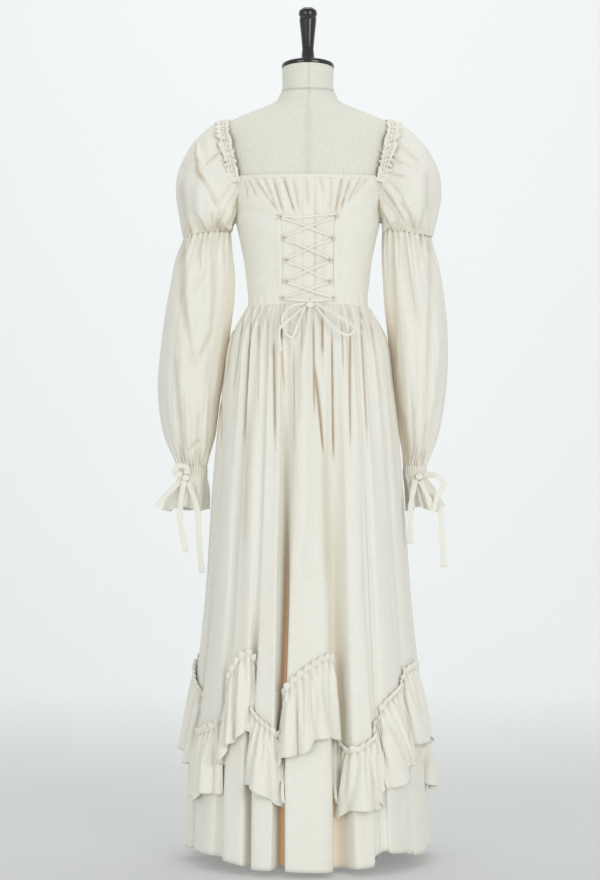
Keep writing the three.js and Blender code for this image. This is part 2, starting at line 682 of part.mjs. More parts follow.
// Bow at the waist: knot, two loops and two tails, as offsets from the knot.
const bowPath = (rows) => rows.map(({ x, out, z }) => point(BOW.x + x, BOW.y - out, BOW.z + z));
const BOW_PIECES = {
  bow_knot: [
    { x: -8, out: 0, z: 0 },
    { x: 8, out: 0, z: 0 },
  ],
  bow_loop_left: [
    { x: -10.6, out: 1.7, z: 3 },
    { x: -40, out: 18, z: -6 },
    { x: -55, out: 28, z: -30 },
    { x: -49, out: 34, z: -56 },
    { x: -36, out: 35, z: -66 },
    { x: -25, out: 30, z: -42 },
    { x: -10.6, out: 1.7, z: -3 },
  ],
  bow_loop_right: [
    { x: 10.4, out: 1.7, z: 3 },
    { x: 46, out: 24, z: -18 },
    { x: 74, out: 35, z: -36 },
    { x: 88, out: 42, z: -50 },
    { x: 76, out: 45, z: -62 },
    { x: 50, out: 40, z: -50 },
    { x: 10.4, out: 1.7, z: -3 },
  ],
  lace_tail_short: [
    { x: -10.2, out: -1.7, z: -3 },
    { x: -36, out: 26, z: -26 },
    { x: -60, out: 42, z: -50 },
    { x: -59, out: 52, z: -78 },
    { x: -57, out: 54, z: -94 },
  ],
  lace_tail_long: [
    { x: -1, out: 2, z: -6.1 },
    { x: -6, out: 38, z: -54 },
    { x: -13, out: 62, z: -108 },
    { x: -11, out: 82, z: -190 },
    { x: -15, out: 96, z: -240 },
    { x: -15, out: 114, z: -350 },
    { x: -19, out: 126, z: -440 },
    { x: -27, out: 132, z: -492 },
    { x: -19, out: 136, z: -536 },
  ],
};
const BOW_STEPS = { bow_knot: 2, bow_loop_left: 12, bow_loop_right: 14, lace_tail_short: 10, lace_tail_long: 32 };
for (const [name, rows] of Object.entries(BOW_PIECES)) {
  const knot = name === "bow_knot" ? { width: 12, thick: 8 } : LACE;
  add(name, strip(bowPath(rows), { ...knot, steps: BOW_STEPS[name], sides: 8 }), COLOURS.trim);
}

// Wrist ties: knot, loop and hanging ends of narrow ribbon, as offsets from each knot.
const RIBBON = { width: 11, thick: 1.6 };
const WRIST_KNOT = { left: { x: -246, y: -19, z: 766 }, right: { x: 224, y: -19.5, z: 768 } };
const WRIST_TIES = {
  left: {
    knot: [{ x: -7, out: 0, z: 0 }, { x: 7, out: 0, z: 0 }],
    loop: [
      { x: -7, out: 3, z: 6.4 },
      { x: -22, out: 10, z: 10 },
      { x: -16, out: 12, z: 23 },
      { x: 2, out: 13, z: 22 },
      { x: 2.5, out: 8, z: 8 },
    ],
    streamer: [{ x: -8.8, out: -1, z: -5 }, { x: -34, out: 20, z: -30 }, { x: -58, out: 27, z: -57 }],
    tail_short: [{ x: -3, out: 3.4, z: -5.2 }, { x: -10, out: 30, z: -73 }, { x: 2, out: 34, z: -148 }],
    tail_long: [
      { x: 4.6, out: 1.2, z: -7.2 },
      { x: 24, out: 32, z: -61 },
      { x: 28, out: 36, z: -121 },
      { x: 34, out: 37, z: -189 },
    ],
  },
  right: {
    knot: [{ x: -7, out: 0, z: 0 }, { x: 7, out: 0, z: 0 }],
    loop: [
      { x: 8.1, out: 3, z: 3.6 },
      { x: 34, out: 22, z: 2 },
      { x: 48, out: 26, z: -14 },
      { x: 34, out: 28, z: -40 },
      { x: 26, out: 30, z: -66 },
      { x: 17, out: 22, z: -42 },
      { x: 2, out: 7.5, z: -8 },
    ],
    tail_long: [
      { x: 5.6, out: -0.4, z: -7.4 },
      { x: 40, out: 20, z: -66 },
      { x: 44, out: 28, z: -116 },
      { x: 48, out: 30, z: -180 },
    ],
    tail_short: [{ x: -7.6, out: 3, z: -5 }, { x: -18, out: 29, z: -56 }, { x: -20, out: 32, z: -134 }],
  },
};
for (const [label, pieces] of Object.entries(WRIST_TIES)) {
  const knot = WRIST_KNOT[label];
  for (const [piece, rows] of Object.entries(pieces)) {
    const path = rows.map(({ x, out, z }) => point(knot.x + x, knot.y - out, knot.z + z));
    const size = piece === "knot" ? { width: 12, thick: 9, sides: 8 } : { ...RIBBON, sides: 4 };
    add(`wrist_${piece}_${label}`, strip(path, { ...size, steps: Math.max(2, rows.length * 3 - 3) }), COLOURS.trim);
  }
}

export default root;
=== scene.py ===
"""A square-necked cotton dress with puff sleeves on a limbless tailor's form, seen from behind."""
import math

import bpy
import numpy as np
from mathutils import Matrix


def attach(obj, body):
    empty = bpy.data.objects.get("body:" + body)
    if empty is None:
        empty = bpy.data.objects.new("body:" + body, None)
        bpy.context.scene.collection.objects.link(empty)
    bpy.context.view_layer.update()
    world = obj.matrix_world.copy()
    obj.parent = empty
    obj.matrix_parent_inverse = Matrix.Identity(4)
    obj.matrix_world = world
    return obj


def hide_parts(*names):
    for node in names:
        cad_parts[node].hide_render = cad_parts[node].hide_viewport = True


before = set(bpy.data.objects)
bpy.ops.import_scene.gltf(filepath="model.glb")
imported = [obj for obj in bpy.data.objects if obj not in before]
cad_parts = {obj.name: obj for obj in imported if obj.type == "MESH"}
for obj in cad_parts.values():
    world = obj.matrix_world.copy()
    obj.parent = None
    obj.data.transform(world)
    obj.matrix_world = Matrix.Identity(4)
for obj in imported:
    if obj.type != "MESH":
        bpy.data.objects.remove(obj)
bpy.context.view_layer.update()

# Camera: level, 5 m behind the back and 0.84 m up, with the photograph's narrow angle of
# view. The dress's axis stands a little right of the middle of the picture.
OBJECT_AXIS_X = -0.016
CAMERA_DISTANCE = 5.0
CAMERA_HEIGHT = 0.842
PICTURE = {"wide": 600, "high": 880, "focal": 2475}

camera_data = bpy.data.cameras.new("camera")
camera_data.sensor_fit = "VERTICAL"
camera_data.angle = 2 * math.atan(PICTURE["high"] / 2 / PICTURE["focal"])
camera = bpy.data.objects.new("camera", camera_data)
camera.location = (OBJECT_AXIS_X, -CAMERA_DISTANCE, CAMERA_HEIGHT)
camera.rotation_euler = (math.radians(90), 0, 0)
bpy.context.scene.collection.objects.link(camera)
bpy.context.scene.camera = camera
bpy.context.scene.view_settings.view_transform = "Standard"


# Tailor's form: a padded body under a tight linen cover, with a seam down its back and
# one round its neck. Sizes are in millimetres here and in every section below.
MM = 0.001


def table(names, *rows):
    """Columns by name from rows of numbers, such as one row for each height."""
    return dict(zip(names.split(), np.array(rows, float).T))


def read(rows, key, at, name):
    """A column of a table at any value of its key, as a smooth curve through its rows."""
    order = np.argsort(rows[key])
    x = rows[key][order]
    y = rows[name][order]
    slope = np.gradient(y, x)
    at = np.clip(at, x[0], x[-1])
    k = np.clip(np.searchsorted(x, at) - 1, 0, len(x) - 2)
    step = x[k + 1] - x[k]
    t = (at - x[k]) / step
    start = y[k] * (2 * t**3 - 3 * t**2 + 1) + slope[k] * step * (t**3 - 2 * t**2 + t)
    return start + y[k + 1] * (3 * t**2 - 2 * t**3) + slope[k + 1] * step * (t**3 - t**2)


def smooth(low, high, at):
    """0 below low, 1 above high and a soft step between them; low may be the larger."""
    t = np.clip((at - low) / (high - low), 0, 1)
    return t * t * (3 - 2 * t)


def bend(value, square):
    """A sine or cosine made squarer, so that a ring turns from an ellipse to a box."""
    return np.sign(value) * np.abs(value) ** (2 / square)


FORM = table(
    "z half back front",
    (1591, 52, 52, 52),
    (1541, 56, 56, 54),
    (1524, 67, 59, 56),
    (1504, 112, 62, 58),
    (1486, 155, 66, 62),
    (1472, 172, 72, 68),
    (1440, 170, 86, 84),
    (1400, 160, 99, 112),
    (1350, 150, 104, 134),
    (1290, 143, 102, 142),
    (1240, 133, 96, 126),
    (1180, 121, 87, 104),
    (1114, 114, 82, 92),
    (1060, 134, 98, 100),
    (1000, 148, 114, 108),
    (925, 146, 112, 106),
    (912, 134, 100, 96),
)
SQUARENESS = 2.5
CAP_TILT = math.radians(7)
NECK_TOP = 1591
NECK_SEAM = 1541


def on_form(angle, z, out=0.0):
    """Points round the form: angle in degrees from the centre back, out from its surface."""
    angle, z, out = np.broadcast_arrays(np.radians(angle), np.asarray(z, float), out)
    square = 2 + (SQUARENESS - 2) * smooth(1530, 1500, z)
    sine = bend(np.sin(angle), square)
    cosine = bend(np.cos(angle), square)
    depth = np.where(cosine > 0, read(FORM, "z", z, "back"), read(FORM, "z", z, "front")) + out
    return np.stack([(read(FORM, "z", z, "half") + out) * sine, -depth * cosine, z], axis=-1)


def angle_at(x, z, out=0.0):
    """The angle at which the form, let out by that much, has this x."""
    ratio = np.clip(np.abs(x) / (read(FORM, "z", z, "half") + out), 0, 1)
    return np.sign(x) * np.degrees(np.arcsin(ratio ** (SQUARENESS / 2)))


def outward(grid, ring):
    """Unit normals of a grid whose rows run down and whose columns run counter-clockwise."""
    down = np.gradient(grid, axis=0)
    if ring:
        along = np.roll(grid, -1, axis=1) - np.roll(grid, 1, axis=1)
    else:
        along = np.gradient(grid, axis=1)
    normal = np.cross(down, along)
    return normal / np.maximum(np.linalg.norm(normal, axis=-1, keepdims=True), 1e-9)


def pushed(grid, amount, ring=False):
    """The grid moved out along its normals by an amount at each point."""
    return grid + outward(grid, ring) * np.asarray(amount)[..., None]


def lengths(points):
    """Distance along a row of points, from 0."""
    steps = np.linalg.norm(np.diff(points, axis=0), axis=1)
    return np.concatenate([[0], np.cumsum(steps)])


def cut_of(grid, ring=False):
    """Flat size of a cloth in metres: its longest row, and the width that gives its area."""
    rows = np.concatenate([grid, grid[:, :1]], axis=1) if ring else grid
    across = rows[:-1, 1:] - rows[:-1, :-1]
    down = rows[1:, :-1] - rows[:-1, :-1]
    area = np.linalg.norm(np.cross(across, down), axis=-1).sum()
    length = np.linalg.norm(np.diff(rows, axis=1), axis=-1).sum(axis=1).max()
    return (float(length * MM), float(area / length * MM))


def surface(name, grid, material, ring=False, thick=1.1, shades=None):
    """A smooth mesh from a grid in millimetres, with a wall and the cloth's own UV in metres."""
    rows, columns, _ = grid.shape
    index = np.arange(rows * columns).reshape(rows, columns)
    left = index if ring else index[:, :-1]
    right = np.roll(index, -1, axis=1) if ring else index[:, 1:]
    faces = np.stack([left[:-1], left[1:], right[1:], right[:-1]], axis=-1).reshape(-1, 4)
    mesh = bpy.data.meshes.new(name)
    mesh.from_pydata((grid.reshape(-1, 3) * MM).tolist(), [], faces.tolist())
    mesh.polygons.foreach_set("use_smooth", np.ones(len(faces), bool))
    widest = grid[-1] if not ring else np.concatenate([grid[-1], grid[-1][:1]])
    across = lengths(widest) * MM
    down = lengths(grid.mean(axis=1)) * MM
    j = np.arange(left.shape[1])
    u = np.stack([across[j], across[j], across[j + 1], across[j + 1]], axis=-1)
    v = np.stack([down[:-1], down[1:], down[1:], down[:-1]], axis=-1)
    shape = (rows - 1, len(j), 4)
    corners = np.stack([np.broadcast_to(u[None], shape), np.broadcast_to(v[:, None], shape)], axis=-1)
    mesh.uv_layers.new(name="UVMap").data.foreach_set("uv", corners.astype(np.float32).ravel())
    for shade, values in (shades or {}).items():
        layer = mesh.attributes.new(shade, "FLOAT", "POINT")
        layer.data.foreach_set("value", np.broadcast_to(values, grid.shape[:2]).astype(np.float32).ravel())
    mesh.materials.append(material)
    piece = bpy.data.objects.new(name, mesh)
    bpy.context.scene.collection.objects.link(piece)
    if thick:
        wall = piece.modifiers.new("wall", "SOLIDIFY")
        wall.thickness = thick * MM
        wall.offset = -1
    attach(piece, "root")
    return piece


def close_ends(piece, rows, columns):
    """Closes the first and last ring of a tube of rings by a face each."""
    mesh = piece.data
    points = [tuple(v.co) for v in mesh.vertices]
    faces = [tuple(p.vertices) for p in mesh.polygons]
    last = (rows - 1) * columns
    faces += [tuple(range(columns)), tuple(reversed(range(last, last + columns)))]
    uvs = [tuple(loop.uv) for loop in mesh.uv_layers[0].data] + [(0.0, 0.0)] * (2 * columns)
    shades = {}
    for layer in mesh.attributes:
        if layer.domain == "POINT" and layer.data_type == "FLOAT":
            shades[layer.name] = [value.value for value in layer.data]
    closed = bpy.data.meshes.new(mesh.name)
    closed.from_pydata(points, [], faces)
    closed.polygons.foreach_set("use_smooth", [True] * (len(faces) - 2) + [False, False])
    for loop, uv in zip(closed.uv_layers.new(name="UVMap").data, uvs):
        loop.uv = uv
    for name, values in shades.items():
        closed.attributes.new(name, "FLOAT", "POINT").data.foreach_set("value", values)
    closed.materials.append(mesh.materials[0])
    piece.data = closed


class Wire:
    """A shader value that is added, multiplied and so on like a number."""

    def __init__(self, shader, socket):
        self.shader = shader
        self.socket = socket

    def _math(self, operation, *values):
        """A Math node on values or numbers."""
        return self.shader.node("ShaderNodeMath", {"operation": operation}, *values)

    def __add__(self, other):
        return self._math("ADD", self, other)

    def __sub__(self, other):
        return self._math("SUBTRACT", self, other)

    def __rsub__(self, other):
        return self._math("SUBTRACT", other, self)

    def __mul__(self, other):
        return self._math("MULTIPLY", self, other)

    def __truediv__(self, other):
        return self._math("DIVIDE", self, other)

    def __pow__(self, other):
        return self._math("POWER", self, other)

    __radd__ = __add__
    __rmul__ = __mul__

    def clamped(self):
        """The value held between 0 and 1."""
        wire = self._math("ADD", self, 0.0)
        wire.socket.node.use_clamp = True
        return wire

    def ramp(self, low, high):
        """0 below low and 1 above high."""
        return ((self - low) / (high - low)).clamped()


class Shader:
    """One material: its nodes are made by node() and joined through the values they return."""

    def __init__(self, name, **constants):
        self.material = bpy.data.materials.new(name)
        self.material.use_nodes = True
        self.tree = self.material.node_tree
        self.main = self.tree.nodes["Principled BSDF"]
        for socket, value in constants.items():
            self.main.inputs[socket.replace("_", " ").title().replace("Ior", "IOR")].default_value = value

    def node(self, kind, settings=None, *values, output=0, **named):
        """Adds a node, sets it up, joins or fills its inputs and returns one of its outputs."""
        made = self.tree.nodes.new(kind)
        for setting, value in (settings or {}).items():
            setattr(made, setting, value)
        for key, value in [*enumerate(values), *named.items()]:
            socket = made.inputs[key]
            if isinstance(value, Wire):
                self.tree.links.new(value.socket, socket)
            else:
                socket.default_value = value
        return Wire(self, made.outputs[output])

    def uv(self, across, down):
        """The cloth's own coordinates, stretched by cycles per metre each way."""
        coordinates = self.node("ShaderNodeUVMap", {"uv_map": "UVMap"})
        return self.node("ShaderNodeVectorMath", {"operation": "MULTIPLY"}, coordinates, (across, down, 1))

    def place(self, scale):
        """The place in the dress, in metres, stretched by cycles per metre along each axis."""
        coordinates = self.node("ShaderNodeTexCoord", output=3)
        return self.node("ShaderNodeVectorMath", {"operation": "MULTIPLY"}, coordinates, scale)

    def noise(self, vector, detail=3.0, rough=0.5):
        """Cloudy noise between 0 and 1."""
        return self.node(
            "ShaderNodeTexNoise", None, Vector=vector, Scale=1.0, Detail=detail, Roughness=rough
        )

    def shade(self, name):
        """One of the shades that surface() keeps at every point."""
        return self.node("ShaderNodeAttribute", {"attribute_name": name}, output=2)

    def mix(self, factor, first, second):
        """The first colour where the factor is 0 and the second where it is 1."""
        made = self.tree.nodes.new("ShaderNodeMix")
        made.data_type = "RGBA"
        for socket, value in ((made.inputs[0], factor), (made.inputs[6], first), (made.inputs[7], second)):
            if isinstance(value, Wire):
                self.tree.links.new(value.socket, socket)
            else:
                socket.default_value = value
        return Wire(self, made.outputs[2])

    def colour(self, wire):
        """Joins a colour to the surface."""
        self.tree.links.new(wire.socket, self.main.inputs["Base Color"])

    def glow(self, wire):
        """Joins a painted glow to the emission, standing in for the light that comes through the cloth."""
        self.tree.links.new(wire.socket, self.main.inputs["Emission Color"])

    def rough(self, wire):
        """Joins a value to the roughness."""
        self.tree.links.new(wire.socket, self.main.inputs["Roughness"])

    def bump(self, height, distance, strength=1.0):
        """Joins a fine relief of that height, in metres."""
        relief = self.node("ShaderNodeBump", None, Strength=strength, Distance=distance, Height=height)
        self.tree.links.new(relief.socket, self.main.inputs["Normal"])


def linen_cover():
    """Tight plain linen, greyer than the dress, with darker seam lines."""
    shader = Shader("form_linen", roughness=0.85, sheen_weight=0.15)
    threads = shader.noise(shader.place((420, 420, 90)), detail=2.0)
    patches = shader.noise(shader.place((9, 9, 9)), detail=2.0)
    cloth = shader.mix(threads.ramp(0.3, 0.75), (0.76, 0.755, 0.665, 1), (0.86, 0.855, 0.77, 1))
    cloth = shader.mix(patches * 0.25, cloth, (0.66, 0.65, 0.57, 1))
    shader.colour(shader.mix(shader.shade("seam") * 0.55, cloth, (0.40, 0.38, 0.31, 1)))
    shader.bump(threads, 0.0004, 0.6)
    return shader.material


SEAM_SUNK = 0.9
SHOULDER_ROWS = np.linspace(NECK_TOP, 1480, 70)
BODY_ROWS = np.linspace(1477, 915, 110)
form_z = np.concatenate([SHOULDER_ROWS, BODY_ROWS])
form_angle = np.arange(0, 360, 2.5)
form_grid = on_form(form_angle[None], form_z[:, None])
neck_lift = smooth(NECK_SEAM, NECK_TOP, form_z)[:, None]
form_grid[..., 2] -= form_grid[..., 1] * math.tan(CAP_TILT) * neck_lift
back_seam = np.exp(-((form_grid[..., 0] - 1.5) / 1.8) ** 2) * (form_grid[..., 1] < 0)
front_seam = np.exp(-(form_grid[..., 0] / 1.8) ** 2) * (form_grid[..., 1] > 0)
neck_seam = np.exp(-((form_grid[..., 2] - NECK_SEAM - 4) / 2.2) ** 2)
seams = np.clip(back_seam * 0.6 + front_seam * 0.6 + neck_seam, 0, 1)
form_grid = pushed(form_grid, -SEAM_SUNK * seams, ring=True)
form_piece = surface("form_body", form_grid, linen_cover(), ring=True, thick=0, shades={"seam": seams})
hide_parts("form_torso")
close_ends(form_piece, len(form_z), len(form_angle))


# Neck cap and handle: two turned pieces of hardwood, painted black and polished. The cap is
# screwed to the cut of the neck and the handle stands on it, both tipped with the neck.
def black_gloss():
    """Polished black with a faint grain and soft scuffs in its gloss."""
    shader = Shader("cap_gloss", roughness=0.16, coat_weight=0.4, coat_roughness=0.08)
    scuffs = shader.noise(shader.place((60, 60, 25)), detail=4.0)
    shader.colour(shader.mix(scuffs, (0.008, 0.008, 0.009, 1), (0.018, 0.017, 0.017, 1)))
    shader.rough(scuffs * 0.16 + 0.1)
    shader.bump(scuffs, 0.0002, 0.3)
    return shader.material


NECK_CAP = table(
    "radius z",
    (1, 0.4),
    (51, 0.4),
    (52.6, 1.2),
    (53.2, 5),
    (52.4, 8.6),
    (49, 10.6),
    (38, 12.2),
    (21, 15),
    (1, 15),
)
HANDLE = table(
    "radius z",
    (1, 15.4),
    (19, 15.4),
    (15.5, 19),
    (13.2, 25),
    (11.5, 41),
    (13, 60),
    (15.2, 82),
    (17.3, 102),
    (17.2, 105),
    (15.8, 107.5),
    (17.4, 110),
    (18.8, 115),
    (17.6, 121),
    (12, 126),
    (1, 128),
)
TURNED_SIDES = 72


def turned(name, rows, material, steps):
    """A turned piece on the neck's tilted axis, its profile drawn straight between the rows."""
    at = np.linspace(0, len(rows["z"]) - 1, steps)
    known = np.arange(len(rows["z"]))
    radius = np.interp(at, known, rows["radius"])[::-1]
    height = np.interp(at, known, rows["z"])[::-1]
    turn = np.linspace(0, 2 * np.pi, TURNED_SIDES, endpoint=False)
    x = radius[:, None] * np.sin(turn)
    y = -radius[:, None] * np.cos(turn)
    z = np.broadcast_to(height[:, None], x.shape)
    tilted_y = y * math.cos(CAP_TILT) + z * math.sin(CAP_TILT)
    tilted_z = z * math.cos(CAP_TILT) - y * math.sin(CAP_TILT)
    grid = np.stack([x, tilted_y, tilted_z + NECK_TOP], axis=-1)
    piece = surface(name, grid, material, ring=True, thick=0)
    close_ends(piece, steps, TURNED_SIDES)
    return piece


BLACK = black_gloss()
for node, rows, steps in (("neck_cap", NECK_CAP, 60), ("neck_handle", HANDLE, 90)):
    piece = turned(node + "_polished", rows, BLACK, steps)
    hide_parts(node)


# Stand: a plain steel pole that carries the form and a round steel base plate under it, both
# brushed to a satin finish. They keep the shapes of their solids.
def satin_steel():
    """Steel with fine upright brushing in its colour and gloss."""
    shader = Shader("stand_steel", metallic=0.7, roughness=0.4)
    streaks = shader.noise(shader.place((40, 40, 220)), detail=3.0)
    shader.colour(shader.mix(streaks, (0.50, 0.51, 0.52, 1), (0.62, 0.63, 0.63, 1)))
    shader.rough(streaks * 0.2 + 0.32)
    return shader.material


STEEL = satin_steel()
for node in ("base_plate", "stand_pole"):
    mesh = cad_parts[node].data
    mesh.materials.clear()
    mesh.materials.append(STEEL)


# Bodice: fitted side-back panels with soft diagonal creases, a gathered panel under the
# lacing and a plain front, all cut from the same slubbed cotton.
def slubbed_cotton(name, light, shadow, slub=1.0):
    """Unbleached cotton with uneven threads. The shade deep paints shade into the bottoms of folds,
    tan and then brown; the shade lit paints a warm glow into the deepest, standing in for the
    light that shines through the cloth."""
    shader = Shader(name, roughness=0.92, sheen_weight=0.25, sheen_roughness=0.6, emission_strength=1.0)
    weft = shader.noise(shader.uv(28, 900), detail=3.0, rough=0.6)
    warp = shader.noise(shader.uv(800, 22), detail=2.0, rough=0.5)
    patches = shader.noise(shader.place((7, 7, 4)), detail=3.0)
    threads = weft * 0.65 + warp * 0.35
    cloth = shader.mix(threads.ramp(0.36, 0.66), shadow, light)
    cloth = shader.mix(patches.ramp(0.35, 0.75) * 0.3, cloth, shadow)
    deep = shader.shade("deep")
    # Painted shade: the bottoms of folds turn tan, and brown where they are deepest.
    cloth = shader.mix(deep.ramp(0.0, 0.6), cloth, (0.75, 0.70, 0.59, 1))
    shader.colour(shader.mix(deep.ramp(0.5, 1.0), cloth, (0.50, 0.37, 0.25, 1)))
    # Painted glow in the deepest folds, standing in for light that comes through the cloth.
    shader.glow(shader.mix(shader.shade("lit").ramp(0.0, 1.0), (0, 0, 0, 1), (0.21, 0.135, 0.075, 1)))
    crumple = shader.noise(shader.place((70, 70, 45)), detail=4.0, rough=0.55)
    shader.bump(threads * slub + crumple * 1.6, 0.0009, 0.55)
    return shader.material


COTTON = slubbed_cotton("dress_cotton", (0.91, 0.90, 0.83, 1), (0.82, 0.805, 0.72, 1))
TRIM = slubbed_cotton("tie_cotton", (0.91, 0.895, 0.82, 1), (0.83, 0.815, 0.73, 1), slub=0.6)

CLOTH_OUT = 3.4
WAIST = 1114
NECKLINE = 1360
TUCK = 3  # how far one cloth runs on under the next at a seam
WAIST_EASE = 4  # how much looser the bodice is at its sides
WAIST_DIP = 5  # how much lower its waist seam sits there
WAIST_SIDE = 122  # from the middle of the waist to its side
LACED_EDGE = table("z x", (1368, 84), (1300, 65), (1284, 57), (1220, 51), (1114, 53))
ARMHOLE = table(
    "z back front",
    (1368, 72, 108),
    (1320, 79, 101),
    (1290, 89, 91),
    (1110, 89.8, 90.2),
)
BODICE_CREASES = table(
    "x0 z0 x1 z1 wide deep",
    (-150, 1306, -66, 1286, 9, -2.2),
    (-146, 1286, -74, 1262, 10, 1.8),
    (-132, 1196, -66, 1226, 10, -1.4),
    (-118, 1132, -62, 1176, 9, -2.2),
    (-116, 1150, -70, 1192, 9, 1.6),
    (-122, 1214, -60, 1262, 12, 1.2),
    (-60, 1278, -56, 1150, 7, 1.6),
    (148, 1300, 70, 1282, 9, -2.0),
    (142, 1270, 72, 1250, 11, 1.4),
    (128, 1188, 64, 1214, 10, -1.2),
    (114, 1130, 60, 1168, 9, -2.0),
    (110, 1146, 66, 1196, 9, 1.5),
    (60, 1278, 54, 1150, 7, 1.6),
    (146, 1330, 96, 1344, 8, -1.4),
    (-146, 1334, -98, 1346, 8, -1.4),
)


def creases(x, z, rows, mirror=1):
    """Sum of soft ridges and troughs, each along its own line and faded at both ends."""
    total = np.zeros(np.broadcast(x, z).shape)
    for x0, z0, x1, z1, wide, deep in zip(*(rows[k] for k in ("x0", "z0", "x1", "z1", "wide", "deep"))):
        run = np.array([(x1 - x0) * mirror, z1 - z0])
        along = ((x - x0 * mirror) * run[0] + (z - z0) * run[1]) / (run @ run)
        aside = ((x - x0 * mirror) * -run[1] + (z - z0) * run[0]) / math.hypot(*run)
        fade = smooth(-0.12, 0.22, along) * smooth(1.12, 0.78, along)
        total += deep * np.exp(-((aside / wide) ** 2)) * fade
    return total


def waist_dip(x):
    """How much lower the waist seam sits at the sides than in the middle."""
    return WAIST_DIP * (x / WAIST_SIDE) ** 2


def body_panel(rows, columns, start, end, out=CLOTH_OUT):
    """A grid on the form between two edges given as functions of height."""
    z = np.linspace(NECKLINE + TUCK, WAIST - TUCK, rows)[:, None]
    t = np.linspace(0, 1, columns)[None]
    angle = start(z) * (1 - t) + end(z) * t
    grid = on_form(angle, z, out)
    x = grid[..., 0]
    grid[..., 0] = x + np.sign(x) * WAIST_EASE * smooth(60, 112, np.abs(x)) * smooth(1215, 1122, z)
    grid[..., 2] -= waist_dip(x) * smooth(1230, 1114, z)
    return grid, t, z


def laced_angle(z):
    """Where the laced edge of a side-back panel runs."""
    return angle_at(read(LACED_EDGE, "z", z, "x"), z, CLOTH_OUT)


def armhole_angle(z, name):
    """Where the back or the front edge of the armhole and the side seam run."""
    return read(ARMHOLE, "z", z, name)


# Gathers fan out from the neckline: grooves with soft ridges between them.
NECK_GATHERS = table(
    "x0 z0 x1 z1 wide deep",
    (-128, 1360, -121, 1322, 2.6, -2.0),
    (-120, 1360, -103, 1324, 3.0, -2.2),
    (-108, 1362, -62, 1296, 2.8, -2.8),
    (-98, 1360, -72, 1316, 4.2, 2.4),
    (-89, 1362, -66, 1308, 2.6, -2.6),
    (-80, 1360, -58, 1300, 3.4, 2.4),
    (-70, 1362, -50, 1290, 2.8, -3.0),
    (-60, 1362, -44, 1292, 3.2, 2.0),
    (-50, 1364, -27, 1292, 2.6, -3.6),
    (-41, 1362, -30, 1310, 3.6, 2.4),
    (-30, 1362, -18, 1296, 2.4, -2.4),
    (-20, 1360, -14, 1312, 3.0, 1.8),
    (-4, 1362, -1, 1306, 2.6, -2.2),
    (5, 1360, 6, 1318, 3.0, 1.6),
    (22, 1364, 42, 1300, 2.4, -2.4),
    (33, 1360, 36, 1306, 4.0, 2.2),
    (46, 1362, 44, 1294, 2.6, -2.0),
    (57, 1362, 50, 1304, 3.6, 2.2),
    (68, 1364, 54, 1290, 2.8, -3.8),
    (78, 1362, 60, 1306, 3.4, 2.6),
    (86, 1362, 64, 1296, 2.8, -3.0),
    (97, 1360, 74, 1322, 3.6, 2.0),
    (106, 1362, 78, 1312, 2.8, -2.4),
    (120, 1362, 92, 1326, 3.0, -1.8),
    (132, 1362, 116, 1334, 3.4, 1.4),
)
for side, label in ((-1, "left"), (1, "right")):
    edges = (laced_angle, lambda z: armhole_angle(z, "back"))
    if side < 0:
        edges = (lambda z: -armhole_angle(z, "back"), lambda z: -laced_angle(z))
    grid, t, z = body_panel(120, 130, *edges)
    gathers = creases(grid[..., 0], grid[..., 2], NECK_GATHERS)
    relief = creases(grid[..., 0], grid[..., 2], BODICE_CREASES) + gathers
    waist_pull = 0.7 * np.cos(t * 41 + 1) * smooth(1150, 1114, z)
    edge = t if side > 0 else 1 - t
    binding = 0.5 * smooth(0.08, 0.05, edge) * smooth(1302, 1286, z)
    # The shade deep paints shade into the grooves of the neck gathers.
    panel = surface(
        f"side_back_{label}_cloth",
        pushed(grid, relief + waist_pull + binding),
        COTTON,
        shades={"deep": np.clip(-0.25 * gathers, 0, 0.8)},
    )
    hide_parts(f"side_back_{label}")
    cut_of(grid)

# The centre back lies a little under the laced edges; two sewn channels run down its middle.
CHANNELS = table(
    "x0 z0 x1 z1 wide deep",
    (-12, 1352, -10, 1118, 2.2, -1.0),
    (14.5, 1356, 13, 1116, 2.2, -1.9),
    (-30, 1268, -28, 1140, 5, -0.8),
    (30, 1268, 31, 1140, 5, -0.8),
    (2, 1270, 2, 1130, 7, 0.9),
    (-38, 1262, 10, 1234, 7, 0.8),
    (36, 1206, -8, 1176, 8, -0.7),
    (-34, 1180, 6, 1150, 7, 0.7),
)
TUCKED = 3.2  # degrees of the centre back that lie under each laced edge
grid, t, z = body_panel(
    110,
    220,
    lambda z: -laced_angle(z) - TUCKED * smooth(1302, 1290, z),
    lambda z: laced_angle(z) + TUCKED * smooth(1302, 1290, z),
)
channels = creases(grid[..., 0], grid[..., 2], CHANNELS)
gathers = creases(grid[..., 0], grid[..., 2], NECK_GATHERS)
sunk = -0.5 * smooth(1302, 1288, z)
# The shade deep paints shade into the grooves of the gathers and of the sewn channels.
gathered = surface(
    "back_gathered_cloth",
    pushed(grid, channels + gathers + sunk),
    COTTON,
    shades={"deep": np.clip(-0.25 * gathers - 0.25 * channels, 0, 0.8)},
)
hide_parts("back_gathered_panel")
cut_of(grid)

FRONT_CREASES = table(
    "x0 z0 x1 z1 wide deep",
    (-138, 1308, -60, 1278, 12, -2.0),
    (136, 1312, 66, 1272, 12, -1.8),
    (-96, 1240, -40, 1190, 11, 1.5),
    (90, 1234, 34, 1180, 12, 1.5),
    (-110, 1180, -56, 1130, 9, -1.8),
    (108, 1176, 60, 1128, 9, -1.6),
    (-20, 1150, 10, 1118, 9, 1.2),
)
grid, t, z = body_panel(
    90,
    130,
    lambda z: armhole_angle(z, "front"),
    lambda z: 360 - armhole_angle(z, "front"),
)
relief = creases(grid[..., 0], grid[..., 2], FRONT_CREASES)
relief += 1.1 * np.cos(t * 260) * smooth(1330, 1360, z)
relief += 0.8 * np.cos(t * 120 + 2) * smooth(1150, 1114, z)
front = surface("bodice_front_cloth", pushed(grid, relief), COTTON, shades={"deep": 0.0})
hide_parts("bodice_front")
cut_of(grid)


